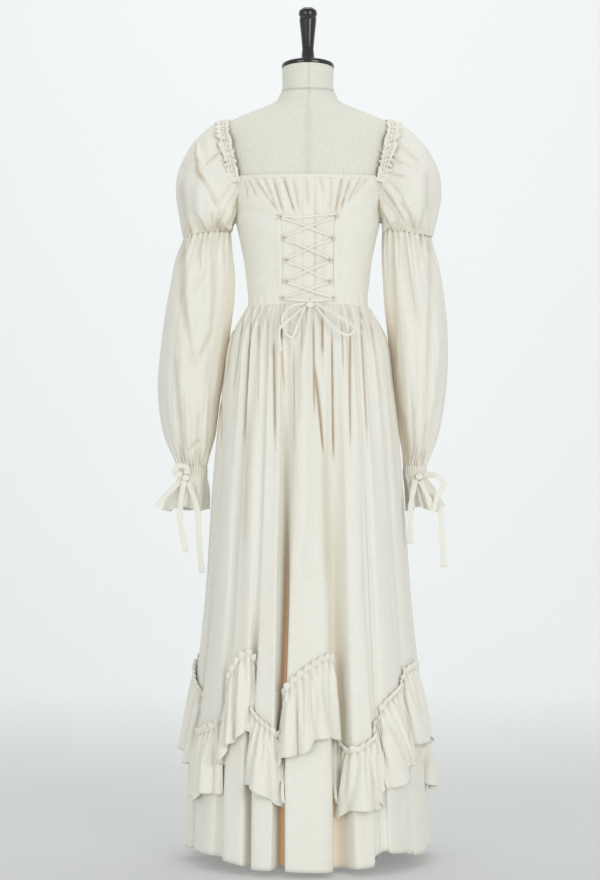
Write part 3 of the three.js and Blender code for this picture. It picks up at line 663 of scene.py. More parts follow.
# Neck casings: a narrow channel of cotton along the back neck and one along the front,
# sewn over the panels' top edges and puckered all along by the elastic in them.
CASING_TOP = 1369
CASING_HIGH = 8.6
for name, start, end in (("back", -56, 56), ("front", 124, 236)):
    t = np.linspace(0, 1, 420)[None]
    v = np.linspace(0, 1, 14)[:, None]
    pucker = 0.5 * np.cos(t * 330 + 1.5 * np.sin(t * 37)) + 0.3 * np.cos(t * 521)
    out = CLOTH_OUT + 0.4 + np.sin(np.pi * v) ** 0.5 + pucker * np.sin(np.pi * v)
    grid = on_form(start + (end - start) * t, CASING_TOP - CASING_HIGH * v, out)
    shade = 0.12 * smooth(0.2, -0.9, pucker)
    band = surface(f"neck_casing_{name}_cloth", grid, TRIM, shades={"deep": shade})
    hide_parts(f"neck_casing_{name}")
    cut_of(grid)[0]


# Shoulder straps: a shirred band over each shoulder with two crumpled ruffles sewn along it,
# whose stitches pull small dimples into the cloth. Painted shade darkens the shirring's
# hollows and the ruffles' feet between their waves.
STRAP = table(
    "at neck_x neck_y neck_z arm_x arm_y arm_z",
    (0.0, 134, -66, 1357, 153, -58, 1357),
    (0.2, 148, -62, 1410, 168, -63, 1406),
    (0.33, 157, -51, 1456, 178, -46, 1450),
    (0.42, 160, -30, 1478, 182, -27, 1472),
    (0.5, 161, 0, 1486, 183, 0, 1480),
    (0.58, 158, 31, 1482, 181, 25, 1475),
    (0.67, 151, 53, 1462, 174, 41, 1457),
    (0.8, 140, 71, 1412, 159, 56, 1410),
    (1.0, 132, 82, 1361, 150, 58, 1361),
)


def on_strap(along, across, side):
    """Points of a strap: along from back to front, across from its neck edge to the sleeve."""
    edges = [
        np.stack([read(STRAP, "at", along, f"{edge}_{axis}") for axis in "xyz"], axis=-1)
        for edge in ("neck", "arm")
    ]
    points = edges[0] + (edges[1] - edges[0]) * across[..., None]
    points[..., 0] *= side
    return points


def strap_grid(side, rows, columns, low, high):
    """A grid over a strap between two values across it, its faces outwards on both sides."""
    across = np.linspace(low, high, rows)[:, None]
    along = np.linspace(0.0, 1.0, columns)[None]
    across, along = np.broadcast_arrays(across, along)
    if side < 0:
        across, along = across[:, ::-1], along[:, ::-1]
    return on_strap(along, across, side), across, along


STRAP_ROWS = table("foot tip waves start lift", (0.36, -0.12, 21, 0.4, 0), (0.62, 1.16, 19, 1.9, 5))
for side, label in ((-1, "left"), (1, "right")):
    grid, across, along = strap_grid(side, 30, 300, 0, 1)
    shirring = np.cos(along * 205 + 2.0 * np.sin(across * 5) + side)
    shirring = shirring + 0.6 * np.cos(along * 127 + 9 * across)
    bulge = 1.6 * np.sin(np.pi * np.clip((across - 0.30) / 0.42, 0, 1))
    # The shade deep paints shade into the hollows of the shirring.
    strap = surface(
        f"shoulder_strap_{label}_cloth",
        pushed(grid, 1.4 + bulge + 0.9 * shirring * np.sin(np.pi * across) ** 0.5),
        TRIM,
        shades={"deep": 0.6 * smooth(0.3, -1.2, shirring)},
    )
    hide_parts(f"shoulder_strap_{label}")
    cut_of(grid)
    for name, foot, tip, waves, start, lift in zip(("inner", "outer"), *STRAP_ROWS.values()):
        grid, across, along = strap_grid(side, 18, 520, min(foot, tip), max(foot, tip))
        rise = (across - foot) / (tip - foot)
        phase = along * 2 * np.pi * waves + 2.6 * np.sin(along * 31 + start) + start
        wave = np.cos(phase) + 0.45 * np.cos(phase * 0.61 + 1) + 0.3 * np.cos(phase * 1.7 + 2)
        grid = on_strap(along, foot + (across - foot) * (0.84 + 0.2 * wave), side)
        over_top = 1 - 0.65 * np.exp(-(((along - 0.5) / 0.14) ** 2))
        ends = smooth(0, 0.07, along) * smooth(1, 0.93, along)
        curl = 4.6 * np.sin(rise * 2.7) + 3.4 * wave * np.sin(rise * 2.2)
        stand = 1.6 + 0.8 * ends + curl * over_top * ends + lift * rise * ends * smooth(0.46, 0.36, along)
        sway = np.gradient(grid, axis=1)
        sway /= np.linalg.norm(sway, axis=-1, keepdims=True)
        grid = grid + outward(grid, False) * stand[..., None]
        grid = grid + sway * (2.6 * np.sin(phase * 0.5 + start) * rise)[..., None]
        # The shade deep paints shade at the ruffle's foot between its waves.
        ruffle = surface(
            f"shoulder_ruffle_{name}_{label}_cloth",
            grid,
            TRIM,
            thick=0.8,
            shades={"deep": 0.95 * smooth(0.0, -0.9, wave) * smooth(0.5, 0.1, rise)},
        )
        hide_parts(f"shoulder_ruffle_{name}_{label}")
        cut_of(grid)[0]


# Puff sleeves: full rings of cloth that swing from the armhole seam to the elastic above the
# elbow, gathered at both and pulled into long slanting folds on the side of the body.
PUFF = table(
    "ring top_x top_z under_x under_z depth bow",
    (-1, 169, 1488, 141, 1284, 55, 12),
    (0, 184, 1480, 147, 1283, 61, 11),
    (1, 206, 1465, 150.5, 1280, 76, 9),
    (2, 235, 1433, 151.5, 1276, 88, 4),
    (3, 258, 1387, 152.5, 1271, 92, 0),
    (4, 264, 1341, 154, 1266, 86, 0),
    (5, 258, 1292, 156, 1267, 70, 0),
    (6, 249, 1252, 157, 1266, 46, 0),
)
PUFF_CREASES = {
    "left": table(
        "x0 z0 x1 z1 wide deep",
        (-224, 1440, -215, 1364, 3.0, -6.5),
        (-219, 1380, -178, 1304, 3.4, -7.0),
        (-212, 1430, -204, 1376, 9, 4.0),
        (-205, 1358, -168, 1300, 8, 4.5),
        (-206, 1382, -166, 1428, 2.5, -5.0),
        (-220, 1400, -203, 1380, 2.5, -4.0),
        (-190, 1374, -172, 1398, 4.5, 2.5),
        (-140, 1358, -188, 1262, 2.1, -4.6),
        (-146, 1362, -178, 1300, 4.0, 2.5),
        (-141, 1338, -176, 1258, 2.0, -5.4),
        (-141, 1318, -163, 1258, 1.8, -5.0),
        (-148, 1346, -166, 1300, 3.4, 2.4),
        (-160, 1316, -176, 1268, 3.2, 2.5),
        (-178, 1300, -182, 1262, 2.2, -4.0),
        (-190, 1296, -191, 1262, 2.2, -3.5),
        (-214, 1292, -203, 1262, 2.5, -5.5),
        (-226, 1296, -216, 1258, 5.5, 4.0),
        (-236, 1290, -230, 1256, 2.5, -4.5),
        (-252, 1372, -242, 1290, 8, -4.0),
        (-244, 1300, -240, 1256, 5, -3.0),
        (-250, 1400, -256, 1350, 9, 2.5),
    ),
    "right": table(
        "x0 z0 x1 z1 wide deep",
        (154, 1432, 190, 1388, 3.0, -4.5),
        (160, 1446, 222, 1396, 5.0, -3.5),
        (158, 1402, 206, 1384, 2.5, -4.0),
        (158, 1394, 196, 1392, 5.0, 2.5),
        (156, 1376, 198, 1362, 2.5, -3.5),
        (190, 1400, 232, 1372, 8, 2.8),
        (150, 1350, 197, 1276, 2.7, -6.5),
        (160, 1352, 190, 1318, 5.0, 3.0),
        (145, 1326, 168, 1270, 2.4, -6.5),
        (158, 1316, 180, 1268, 4.5, 3.5),
        (176, 1314, 206, 1262, 5, 3.0),
        (190, 1320, 214, 1264, 2.4, -4.0),
        (232, 1390, 240, 1296, 9, -3.5),
        (226, 1306, 222, 1258, 2.4, -4.0),
        (212, 1290, 208, 1256, 2.2, -3.0),
        (248, 1372, 244, 1276, 8, 3.0),
        (240, 1296, 238, 1258, 3.0, -3.0),
    ),
}


def swinging(ring, turn):
    """Point of the puff: ring -1 is the armhole, 6 the elastic; turn 0 is the outer edge."""
    row = {name: read(PUFF, "ring", ring, name) for name in PUFF}
    reach = (1 + np.cos(turn)) / 2
    x = row["under_x"] + (row["top_x"] - row["under_x"]) * reach - row["bow"] * np.sin(turn) ** 2
    z = row["under_z"] + (row["top_z"] - row["under_z"]) * reach
    return np.stack([x, np.sin(turn) * row["depth"], z], axis=-1)


for side, label, start in ((-1, "left", 0.4), (1, "right", 1.9)):
    ring, turn = np.broadcast_arrays(
        np.linspace(-1, 6, 150)[:, None], np.linspace(2 * np.pi, 0, 340, endpoint=False)[None]
    )
    ring, turn = np.array(ring), np.array(turn)
    grid = swinging(ring, turn)
    fine = np.cos(turn * 23 + start + 1.6 * np.sin(turn * 3)) + 0.6 * np.cos(turn * 37 + 2 * start)
    armhole = smooth(1.8, -1, ring)
    elastic = smooth(4.4, 6, ring)
    inner_side = smooth(0.1, 0.9, -np.cos(turn))
    relief = 1.4 * fine * (armhole + 1.2 * elastic + 0.3 * inner_side) * smooth(-1.2, -0.4, ring)
    for turns, drift, size in ((5, 0.35, 2.6), (7, -0.5, 2.0), (11, 0.7, 1.2)):
        swell = np.cos(turn * turns + drift * ring + start * turns)
        relief = relief + size * swell * smooth(0, 2, ring) * smooth(6.2, 4, ring)
    if side < 0:
        grid = grid[:, ::-1] * np.array([-1, 1, 1])
        relief, fine, ring, inner_side = (a[:, ::-1] for a in (relief, fine, ring, inner_side))
    behind = smooth(20, -20, grid[..., 1])
    folds = creases(grid[..., 0], grid[..., 2], PUFF_CREASES[label]) * behind
    other = "left" if side > 0 else "right"
    hidden = creases(grid[..., 0], grid[..., 2], PUFF_CREASES[other], mirror=-1)
    relief = relief + 1.1 * folds + 1.1 * hidden * (1 - behind)
    grid = pushed(grid, relief, ring=True)
    gathers = smooth(0.2, -1.3, fine) * (smooth(0.8, -1, ring) + smooth(5.0, 6, ring))
    shade = 0.4 * gathers + 0.12 * smooth(0.1, -1.3, fine) * inner_side
    shade = shade + np.clip(-0.12 * folds, 0, 0.7)
    puff = surface(f"puff_sleeve_{label}_cloth", grid, COTTON, ring=True, shades={"deep": shade})
    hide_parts(f"puff_sleeve_{label}")
    cut_of(grid, ring=True)


# Lower sleeves: one width of the same cotton each, sewn into a tube. They are gathered into
# the elastic above the elbow, full at the forearm and gathered again into the wrist casing.
SLEEVE = table(
    "z left_out left_in right_in right_out depth gather",
    (1259.6, 250, 157, 153, 248, 46, 3),
    (1232, 260, 155, 150, 255, 62, 5),
    (1150, 278, 152, 151, 271, 75, 5),
    (1044, 293, 164, 164, 281, 80, 6),
    (923, 299, 181, 181, 276, 74, 7),
    (842, 285, 191, 190, 260, 54, 6),
    (790, 264, 205, 194, 240, 27, 2),
)


def forward(z):
    """How far the arm line lies in front of the shoulder."""
    return 14 * smooth(1260, 790, z)


def sleeve_ring(rows, label, z, turn, press):
    """Points round a sleeve at a height, pressed in by an amount; turn 0 is at its back."""
    inner = read(rows, "z", z, f"{label}_in")
    outer = read(rows, "z", z, f"{label}_out")
    half = (outer - inner) / 2 - press
    side = -1 if label == "left" else 1
    x = side * (inner + outer) / 2 + np.sin(turn) * half
    y = forward(z) - np.cos(turn) * (read(rows, "z", z, "depth") - press)
    return np.stack(np.broadcast_arrays(x, y, z), axis=-1)


ELASTIC_TILT = 7  # how much higher the elastic sits on the body's side than its middle
SLEEVE_FOLDS = {
    "left": table(
        "x0 z0 x1 z1 wide deep",
        (-254, 1258, -255, 1120, 8, -7.5),
        (-256, 1140, -228, 985, 9, -7.0),
        (-240, 1230, -232, 1010, 10, 4.0),
        (-234, 1132, -204, 1186, 6, -4.0),
        (-216, 1000, -187, 1062, 7, -4.5),
        (-190, 1066, -179, 1200, 7, -4.0),
        (-203, 1230, -196, 1080, 9, 3.5),
        (-220, 1256, -216, 1180, 5, -3.5),
        (-187, 1256, -184, 1160, 5, -3.5),
        (-272, 1010, -260, 880, 8, -5.0),
        (-262, 900, -252, 790, 7, -5.0),
        (-240, 940, -238, 800, 8, 4.0),
        (-243, 816, -214, 842, 5, -3.5),
        (-214, 900, -222, 790, 7, -4.0),
        (-200, 960, -210, 800, 6, 3.0),
    ),
    "right": table(
        "x0 z0 x1 z1 wide deep",
        (168, 1258, 170, 960, 6, -5.5),
        (181, 1256, 216, 1070, 9, -5.5),
        (206, 1250, 222, 1100, 10, 3.5),
        (226, 1258, 224, 1190, 5, -3.5),
        (243, 1256, 250, 1140, 7, -5.5),
        (250, 1150, 236, 850, 8, -5.0),
        (224, 1060, 226, 850, 11, 4.0),
        (262, 1060, 250, 900, 9, 3.5),
        (196, 1040, 204, 840, 9, 3.0),
        (206, 920, 212, 790, 6, -4.0),
        (240, 880, 228, 790, 6, -4.0),
        (190, 900, 200, 790, 6, -3.5),
    ),
}
for side, label in ((-1, "left"), (1, "right")):
    z, turn = np.broadcast_arrays(
        np.linspace(1266, 790, 160)[:, None], np.linspace(0, 2 * np.pi, 300, endpoint=False)[None]
    )
    start = 0.7 if side < 0 else 2.1
    fine = np.cos(turn * 22 + start + 1.5 * np.sin(turn * 2)) + 0.5 * np.cos(turn * 35 + start)
    top = smooth(1150, 1258, z)
    wrist = smooth(850, 792, z)
    press = read(SLEEVE, "z", z, "gather") * 0.3 * (1 - fine) * 0.5 * (0.3 + top + wrist)
    press = press + 4 * smooth(1259, 1265, z)
    grid = sleeve_ring(SLEEVE, label, z, turn, press)
    inner = -side * np.sin(turn)
    grid[..., 2] += ELASTIC_TILT * inner * smooth(1180, 1259, z)
    folds = creases(grid[..., 0], grid[..., 2], SLEEVE_FOLDS[label])
    hidden = sum(
        size * np.cos(turn * turns + drift * z / 90 + start)
        for turns, drift, size in ((4, 0.5, 3.4), (7, -0.4, 2.4), (10, 0.7, 1.6))
    )
    middle = smooth(1255, 1180, z) * smooth(795, 860, z)
    behind = smooth(-0.1, 0.35, np.cos(turn))
    in_front = smooth(0.3, -0.2, np.cos(turn))
    relief = 1.25 * folds * behind + hidden * middle * (0.45 + 0.55 * in_front)
    relief = relief + fine * (1.5 * top + 1.2 * wrist)
    grid = pushed(grid, relief, ring=True)
    # Painted shade in the gathers at the top and the wrist and in the folds behind; lit paints a warm glow
    # on the side next to the body, standing in for light thrown back from the skirt.
    gathers = smooth(0.1, -1.3, fine)
    crease_shade = 0.4 * gathers * smooth(1225, 1260, z) + 0.35 * gathers * smooth(815, 790, z)
    crease_shade = crease_shade + np.clip(-0.06 * folds, 0, 0.35) * behind
    shades = {"deep": crease_shade, "lit": 0.3 * smooth(0.5, 1.0, inner) * smooth(1240, 1120, z)}
    sleeve = surface(f"lower_sleeve_{label}_cloth", grid, COTTON, ring=True, shades=shades)
    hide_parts(f"lower_sleeve_{label}")
    cut_of(grid, ring=True)


# Cuffs: a wrist casing puckered by its elastic, with a short flared flounce below it. Both
# are cut in one from the trimming cotton and sewn to the end of the lower sleeve.
CUFF = table(
    "z left_out left_in right_in right_out depth wave",
    (789.6, 264, 205, 194, 240, 27, 0),
    (778, 263, 204, 193, 240, 27, 0.5),
    (768, 263, 204, 193, 241, 28, 2),
    (745, 277, 200, 195, 256, 38, 8),
    (703, 296, 199, 197, 277, 48, 15),
)
for side, label in ((-1, "left"), (1, "right")):
    z, turn = np.broadcast_arrays(
        np.linspace(795, 703, 64)[:, None], np.linspace(0, 2 * np.pi, 320, endpoint=False)[None]
    )
    start = 0.3 if side < 0 else 1.4
    bend_phase = turn * 8 + start + 0.9 * np.sin(turn * 2 + start)
    wave = 0.5 * (1 - np.cos(bend_phase)) + 0.12 * np.cos(turn * 19)
    press = read(CUFF, "z", z, "wave") * wave + 3 * smooth(789, 794, z)
    grid = sleeve_ring(CUFF, label, z, turn, press)
    pucker = np.cos(turn * 30 + start) * smooth(760, 775, z)
    grid = pushed(grid, 1.2 * pucker, ring=True)
    grid[..., 2] += 5 * np.cos(turn * 3 + start) * smooth(760, 705, z)
    # Painted shade in the hollows between the casing's puckers.
    crease_shade = 0.4 * smooth(0.2, -1.0, pucker) * smooth(755, 770, z)
    cuff = surface(f"cuff_flounce_{label}_cloth", grid, TRIM, ring=True, shades={"deep": crease_shade})
    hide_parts(f"cuff_flounce_{label}")
    cut_of(grid, ring=True)


# Skirt: four widths of the same cotton, sewn together and gathered into the waist seam. The
# small gathers merge into broad columns of cloth with deep gaps between them.
SKIRT = table(
    "z half back front fold gather square",
    (1113.8, 125, 89, 99, 0, 3.5, 2.5),
    (1096, 138, 104, 112, 0.02, 6, 2.4),
    (1055, 159, 128, 132, 0.08, 7, 2.25),
    (960, 175, 153, 153, 0.24, 7, 2.1),
    (780, 192, 181, 180, 0.55, 4, 2),
    (500, 210, 211, 210, 0.88, 0, 2),
    (250, 236, 236, 236, 1, 0, 2),
    (14, 247, 252, 252, 1, 0, 2),
)
# The fifth column sets how strongly painted shade darkens each gap.
FOLDS = table(
    "angle deep close narrow tint high",
    (-46, 16, 0.11, 1.7, 0.3, 0.6),
    (-29.5, 44, 0.12, 2.0, 0.9, 0.3),
    (-15.2, 60, 0.14, 3.4, 1.0, 1),
    (18, 62, 0.06, 1.15, 0.45, 0.85),
    (36, 10, 0.05, 1.7, 0.3, 0.6),
    (56, 7, 0.11, 1.4, 0.2, 0.5),
    (80, 34, 0.12, 1.7, 0.5, 0.8),
    (102, 40, 0.12, 1.7, 0.5, 0.6),
    (126, 48, 0.12, 2.2, 0.8, 1),
    (148, 44, 0.12, 1.7, 0.5, 0.5),
    (170, 56, 0.13, 3.0, 1.0, 1),
    (196, 58, 0.10, 1.4, 0.6, 0.8),
    (218, 42, 0.12, 1.7, 0.5, 0.5),
    (240, 46, 0.12, 2.2, 0.8, 0.9),
    (262, 38, 0.12, 1.7, 0.5, 0.6),
    (288, 34, 0.12, 1.7, 0.4, 0.7),
)
FOLD_COUNT = len(FOLDS["angle"])
STEEPNESS = 0.065


def fold_at(place):
    """Valley angle, width, depth and closeness where place counts folds from the first valley."""
    k = np.floor(place).astype(int) % FOLD_COUNT
    after = (k + 1) % FOLD_COUNT
    phase = place - np.floor(place)
    wide = (FOLDS["angle"][after] - FOLDS["angle"][k]) % 360
    deep = FOLDS["deep"][k] * (1 - phase) + FOLDS["deep"][after] * phase
    close = FOLDS["close"][k] * (1 - phase) + FOLDS["close"][after] * phase
    return FOLDS["angle"][k], wide, phase, deep, close


def nearest_fold(place, name):
    """A column of the fold table at the valley nearest to a place."""
    return FOLDS[name][np.round(place).astype(int) % FOLD_COUNT]


def skirt_point(place, z):
    """Point on the skirt's outside and how deep it lies in a fold, in millimetres."""
    place, z = np.broadcast_arrays(place, np.asarray(z, float))
    valley, wide, phase, deep, close = fold_at(place)
    row = {name: read(SKIRT, "z", z, name) for name in SKIRT}
    turn = 2 * np.pi * phase
    shift = row["fold"] * (STEEPNESS * np.sin(2 * turn) - close * np.sin(turn))
    angle = np.radians(valley + wide * (phase + shift))
    around = 2 * np.pi * place / FOLD_COUNT
    folded = 0.9 * row["fold"] * deep * (0.5 * (1 + np.cos(turn))) ** nearest_fold(place, "narrow")
    folded = folded * (1 - (1 - nearest_fold(place, "high")) * smooth(330, 560, z))
    gathered = row["gather"] * (0.5 + 0.25 * np.cos(2 * turn + 0.9 * np.sin(around * 5)))
    high = smooth(820, 1090, z)
    fine = np.cos(around * 61 + 2.5 * np.sin(around * 7)) + 0.6 * np.cos(around * 37 + 2)
    ripple = np.cos(around * 43 + 0.004 * z) + 0.8 * np.cos(around * 29 - 0.003 * z + 1.1)
    crown = 0.5 * (1 - np.cos(turn))
    inset = folded + gathered + 1.1 * (1 - fine) * high - 0.6 * ripple * smooth(1080, 900, z) * crown
    inset = inset - 2.2 * smooth(1098, 1112, z) + 6 * smooth(1112.4, 1116, z)
    depth = np.where(np.cos(angle) > 0, row["back"], row["front"])
    x = (row["half"] - inset) * bend(np.sin(angle), row["square"])
    y = -(depth - inset) * bend(np.cos(angle), row["square"])
    return np.stack([x, y, z], axis=-1), folded


SKIRT_CREASES = table(
    "x0 z0 x1 z1 wide deep",
    (-180, 1040, -173, 830, 1.9, -4.5),
    (-160, 1085, -178, 960, 1.6, -3.5),
    (-145, 1098, -166, 960, 1.6, -3.5),
    (-128, 1105, -150, 930, 1.7, -4.0),
    (-112, 1108, -127, 840, 2.0, -4.5),
    (-97, 1108, -101, 900, 1.9, -3.0),
    (-120, 900, -128, 640, 7, -2.5),
    (-146, 960, -156, 640, 11, 2.0),
    (-80, 1106, -82, 960, 1.7, -3.0),
    (-68, 1060, -67, 830, 2.2, -4.5),
    (-54, 1104, -46, 940, 1.7, -4.5),
    (-30, 1030, -28, 820, 2.1, -3.5),
    (-12, 1106, -12, 960, 1.7, -3.0),
    (10, 1095, 13, 890, 2.2, -5.5),
    (14, 985, 32, 815, 2.8, -6.5),
    (27, 1095, 28, 1010, 1.7, -4.0),
    (48, 1060, 50, 800, 1.7, -7.0),
    (-8, 1000, -10, 700, 14, 2.0),
    (34, 830, 38, 560, 9, -2.0),
    (66, 1100, 68, 980, 2.0, -3.0),
    (82, 1085, 84, 820, 2.1, -5.0),
    (104, 1100, 118, 830, 2.5, -4.0),
    (122, 1098, 150, 900, 2.5, -3.5),
    (140, 1040, 162, 780, 12, 2.0),
    (98, 900, 104, 560, 13, 2.0),
    (-96, 820, -104, 500, 13, 2.0),
)
HEM_LIFT = table(
    "angle lift",
    (-90, 12),
    (-52, 15),
    (-40, 10),
    (-32, 1),
    (-14, 0),
    (24, 0),
    (31, 6),
    (36, 26),
    (46, 22),
    (60, 12),
    (90, 10),
    (150, 4),
    (210, 2),
    (270, 12),
)


def hem_lift(place, z):
    """How much higher the cloth hangs near its hem, which isn't quite level."""
    valley, wide, phase, _, _ = fold_at(place)
    angle = (valley + wide * phase + 90) % 360 - 90
    return read(HEM_LIFT, "angle", angle, "lift") * smooth(260, 14, z)


def grooves(turn, sharp):
    """Narrow grooves with calm cloth between them, one each time turn passes a full circle."""
    return (0.5 * (1 + np.cos(turn))) ** sharp


WIDTHS = ("back", "right", "front", "left")
GATHERED_ROWS = np.linspace(1113.2, 1000, 46)
HANGING_ROWS = np.linspace(995, 14, 110)
skirt_z = np.concatenate([[1116.4, 1114.8], GATHERED_ROWS, HANGING_ROWS])[:, None]
for k, name in enumerate(WIDTHS):
    place = np.linspace(4 * k + 0.002, 4 * k + 3.998, 230)[None]
    grid, folded = skirt_point(place, skirt_z)
    grid[..., 2] += hem_lift(place, skirt_z) - waist_dip(grid[..., 0]) * smooth(1040, 1114, skirt_z)
    around = 2 * np.pi * place / FOLD_COUNT
    short = grooves(around * 83 + 2.2 * np.sin(around * 11), 3) * smooth(1030, 1105, skirt_z)
    long = grooves(around * 59 + 1.7 * np.sin(around * 9) + 0.9, 8) * (0.6 + 0.4 * np.cos(around * 17 + 1))
    long = long * smooth(0, 170, skirt_z - 880 - 80 * np.cos(around * 31))
    facing = grid * np.array([1, -1, 1]) if k == 2 else grid
    placed = creases(facing[..., 0], facing[..., 2], SKIRT_CREASES) * smooth(40, -40, facing[..., 1])
    slubby = 0.9 * np.cos(around * 33 + skirt_z / 120) * smooth(1000, 850, skirt_z) * smooth(18, 4, folded)
    relief = placed + slubby - 1.2 * short - 3.2 * long
    # Painted shade in the deep gaps between the columns, the gathers' grooves and the creases; lit paints
    # a warm glow into the deepest gaps, standing in for light through the cloth.
    shade = nearest_fold(place, "tint") * smooth(18, 50, folded) * smooth(1060, 930, skirt_z)
    lit = shade * smooth(34, 54, folded)
    shade = shade + 0.1 * short + 0.45 * long + np.clip(-0.2 * placed, 0, 0.9)
    shades = {"deep": shade, "lit": lit}
    width = surface(f"skirt_{name}_cloth", pushed(grid, relief), COTTON, shades=shades)
    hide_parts(f"skirt_{name}")
    cut_of(grid)


# Skirt flounce: one long strip of the trimming cotton, gathered 14 mm below its top edge and
# sewn on round the skirt in steep zigzags, so that the edge above the stitches stands up.
ZIGZAG = table(
    "angle z lean",
    (-64, 250, 0),
    (-52, 286, -8),
    (-47, 336, -14),
    (-41, 345, -8),
    (-39, 398, -10),
    (-37, 420, -6),
    (-35, 424, 0),
    (-33, 416, 6),
    (-31, 392, 8),
    (-27, 330, -4),
    (-21, 276, 4),
    (-15, 254, 16),
    (-12, 330, -22),
    (-7, 350, -18),
    (-3, 368, -14),
    (1, 396, -12),
    (4, 416, 0),
    (8, 413, 16),
    (11, 402, 34),
    (14, 370, 50),
    (20, 232, -24),
    (26, 236, -12),
    (30, 257, 4),
    (38, 296, 22),
    (42, 318, 26),
    (49, 350, 22),
    (58, 370, 18),
    (70, 390, 10),
    (90, 256, 0),
    (114, 420, 0),
    (140, 246, 0),
    (163, 424, 0),
    (187, 250, 0),
    (212, 426, 0),
    (240, 250, 0),
    (268, 404, 0),
    (296, 250, 0),
)
SEAM_LOWEST = 232
SEAM_RISE = 194
FLOUNCE_DROP = {"valley": 118, "peak": 146}
HEADING = 14
SWING = 26  # how far the free edge swings out under the steepest seam
RUFFLE_LENGTH = 34
PUCKER_LENGTH = 15


def along_zigzag(place, name):
    """A column of the zigzag table at a place, its corners rounded a little."""
    valley, wide, phase, _, _ = fold_at(place)
    first = ZIGZAG["angle"][0]
    angle = (valley + wide * phase - first) % 360
    near = [
        np.interp((angle + step) % 360 + first, ZIGZAG["angle"], ZIGZAG[name])
        for step in (-2, -1, 0, 1, 2)
    ]
    return np.mean(near, axis=0)


def seam_height(place):
    """Height of the stitching that holds the flounce."""
    return along_zigzag(place, "z")


def skirt_frame(place, z):
    """Skirt points with their outward normals."""
    step = 0.02
    along = skirt_point(place + step, z)[0] - skirt_point(place - step, z)[0]
    down = skirt_point(place, z - 4)[0] - skirt_point(place, z + 4)[0]
    normal = np.cross(down, along)
    return skirt_point(place, z)[0], normal / np.linalg.norm(normal, axis=-1, keepdims=True)


def evenly_along_seam(first, last, count):
    """Places along the stitching, closer together where it climbs steeply."""
    place = np.linspace(first, last, 4000)
    run = lengths(skirt_point(place, seam_height(place))[0])
    return np.interp(np.linspace(0, run[-1], count), run, place), np.linspace(0, run[-1], count)


def free_edge_shift(place):
    """How far round the free edge swings, as a change of place: it hangs square to the seam."""
    level = 300.0
    step = 0.16
    near = [seam_height(place + d) for d in (-step, -step / 2, step / 2, step)]
    rise = (near[3] + near[2] - near[1] - near[0]) / 2
    chord = skirt_point(place + step, level)[0] - skirt_point(place - step, level)[0]
    run = np.linalg.norm(chord, axis=-1)
    swing = SWING * np.tanh(rise / 60) + along_zigzag(place, "lean")
    return swing / np.maximum(run, 30) * 2 * step


STITCH = {"spacing": 6.5, "long": 2.0, "thick": 1.0}
STITCH_SIDES = 6


def stitched(name, path, spacing, long, thick, material):
    """Running stitches along a path, one short thread every so many millimetres."""
    mesh = bpy.data.meshes.new(name)
    edges = [(k, k + 1) for k in range(len(path) - 1)]
    mesh.from_pydata((path * MM).tolist(), edges, [])
    row = bpy.data.objects.new(name, mesh)
    bpy.context.scene.collection.objects.link(row)
    tree = bpy.data.node_groups.new(name + "_nodes", "GeometryNodeTree")
    tree.interface.new_socket("Geometry", in_out="INPUT", socket_type="NodeSocketGeometry")
    sizes = {"Spacing": spacing * MM, "Stitch length": long * MM, "Thread radius": thick / 2 * MM}
    sockets = {
        label: tree.interface.new_socket(label, in_out="INPUT", socket_type="NodeSocketFloat").identifier
        for label in sizes
    }
    tree.interface.new_socket("Geometry", in_out="OUTPUT", socket_type="NodeSocketGeometry")
    made = {
        kind: tree.nodes.new(kind)
        for kind in (
            "NodeGroupInput",
            "NodeGroupOutput",
            "GeometryNodeMeshToCurve",
            "GeometryNodeResampleCurve",
            "GeometryNodeMeshCylinder",
            "GeometryNodeInstanceOnPoints",
            "GeometryNodeRealizeInstances",
            "GeometryNodeSetMaterial",
            "FunctionNodeAlignEulerToVector",
            "GeometryNodeInputTangent",
        )
    }
    source, sink = made["NodeGroupInput"], made["NodeGroupOutput"]
    curve, even = made["GeometryNodeMeshToCurve"], made["GeometryNodeResampleCurve"]
    thread, copies = made["GeometryNodeMeshCylinder"], made["GeometryNodeInstanceOnPoints"]
    turned_to, plain_mesh = made["FunctionNodeAlignEulerToVector"], made["GeometryNodeRealizeInstances"]
    painted = made["GeometryNodeSetMaterial"]
    turned_to.axis = "Z"
    even.mode = "LENGTH"
    thread.inputs["Vertices"].default_value = STITCH_SIDES
    link = tree.links.new
    link(source.outputs["Geometry"], curve.inputs["Mesh"])
    link(curve.outputs["Curve"], even.inputs["Curve"])
    link(source.outputs["Spacing"], even.inputs["Length"])
    link(source.outputs["Stitch length"], thread.inputs["Depth"])
    link(source.outputs["Thread radius"], thread.inputs["Radius"])
    link(even.outputs["Curve"], copies.inputs["Points"])
    link(thread.outputs["Mesh"], copies.inputs["Instance"])
    link(made["GeometryNodeInputTangent"].outputs[0], turned_to.inputs["Vector"])
    link(turned_to.outputs[0], copies.inputs["Rotation"])
    link(copies.outputs["Instances"], plain_mesh.inputs["Geometry"])
    link(plain_mesh.outputs["Geometry"], painted.inputs["Geometry"])
    link(painted.outputs["Geometry"], sink.inputs["Geometry"])
    painted.inputs["Material"].default_value = material
    nodes = row.modifiers.new("stitches", "NODES")
    nodes.node_group = tree
    for label, size in sizes.items():
        nodes[sockets[label]] = size
    bpy.context.view_layer.update()
    shaped = row.evaluated_get(bpy.context.evaluated_depsgraph_get())
    plain = bpy.data.meshes.new_from_object(shaped)
    row.modifiers.clear()
    row.data = plain
    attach(row, "root")


def sewing_thread():
    """Dull cotton thread, darker than the cloth it sinks into."""
    shader = Shader("sewing_thread", roughness=0.9)
    twist = shader.noise(shader.place((900, 900, 900)), detail=1.0)
    shader.colour(shader.mix(twist, (0.42, 0.33, 0.22, 1), (0.60, 0.52, 0.40, 1)))
    return shader.material


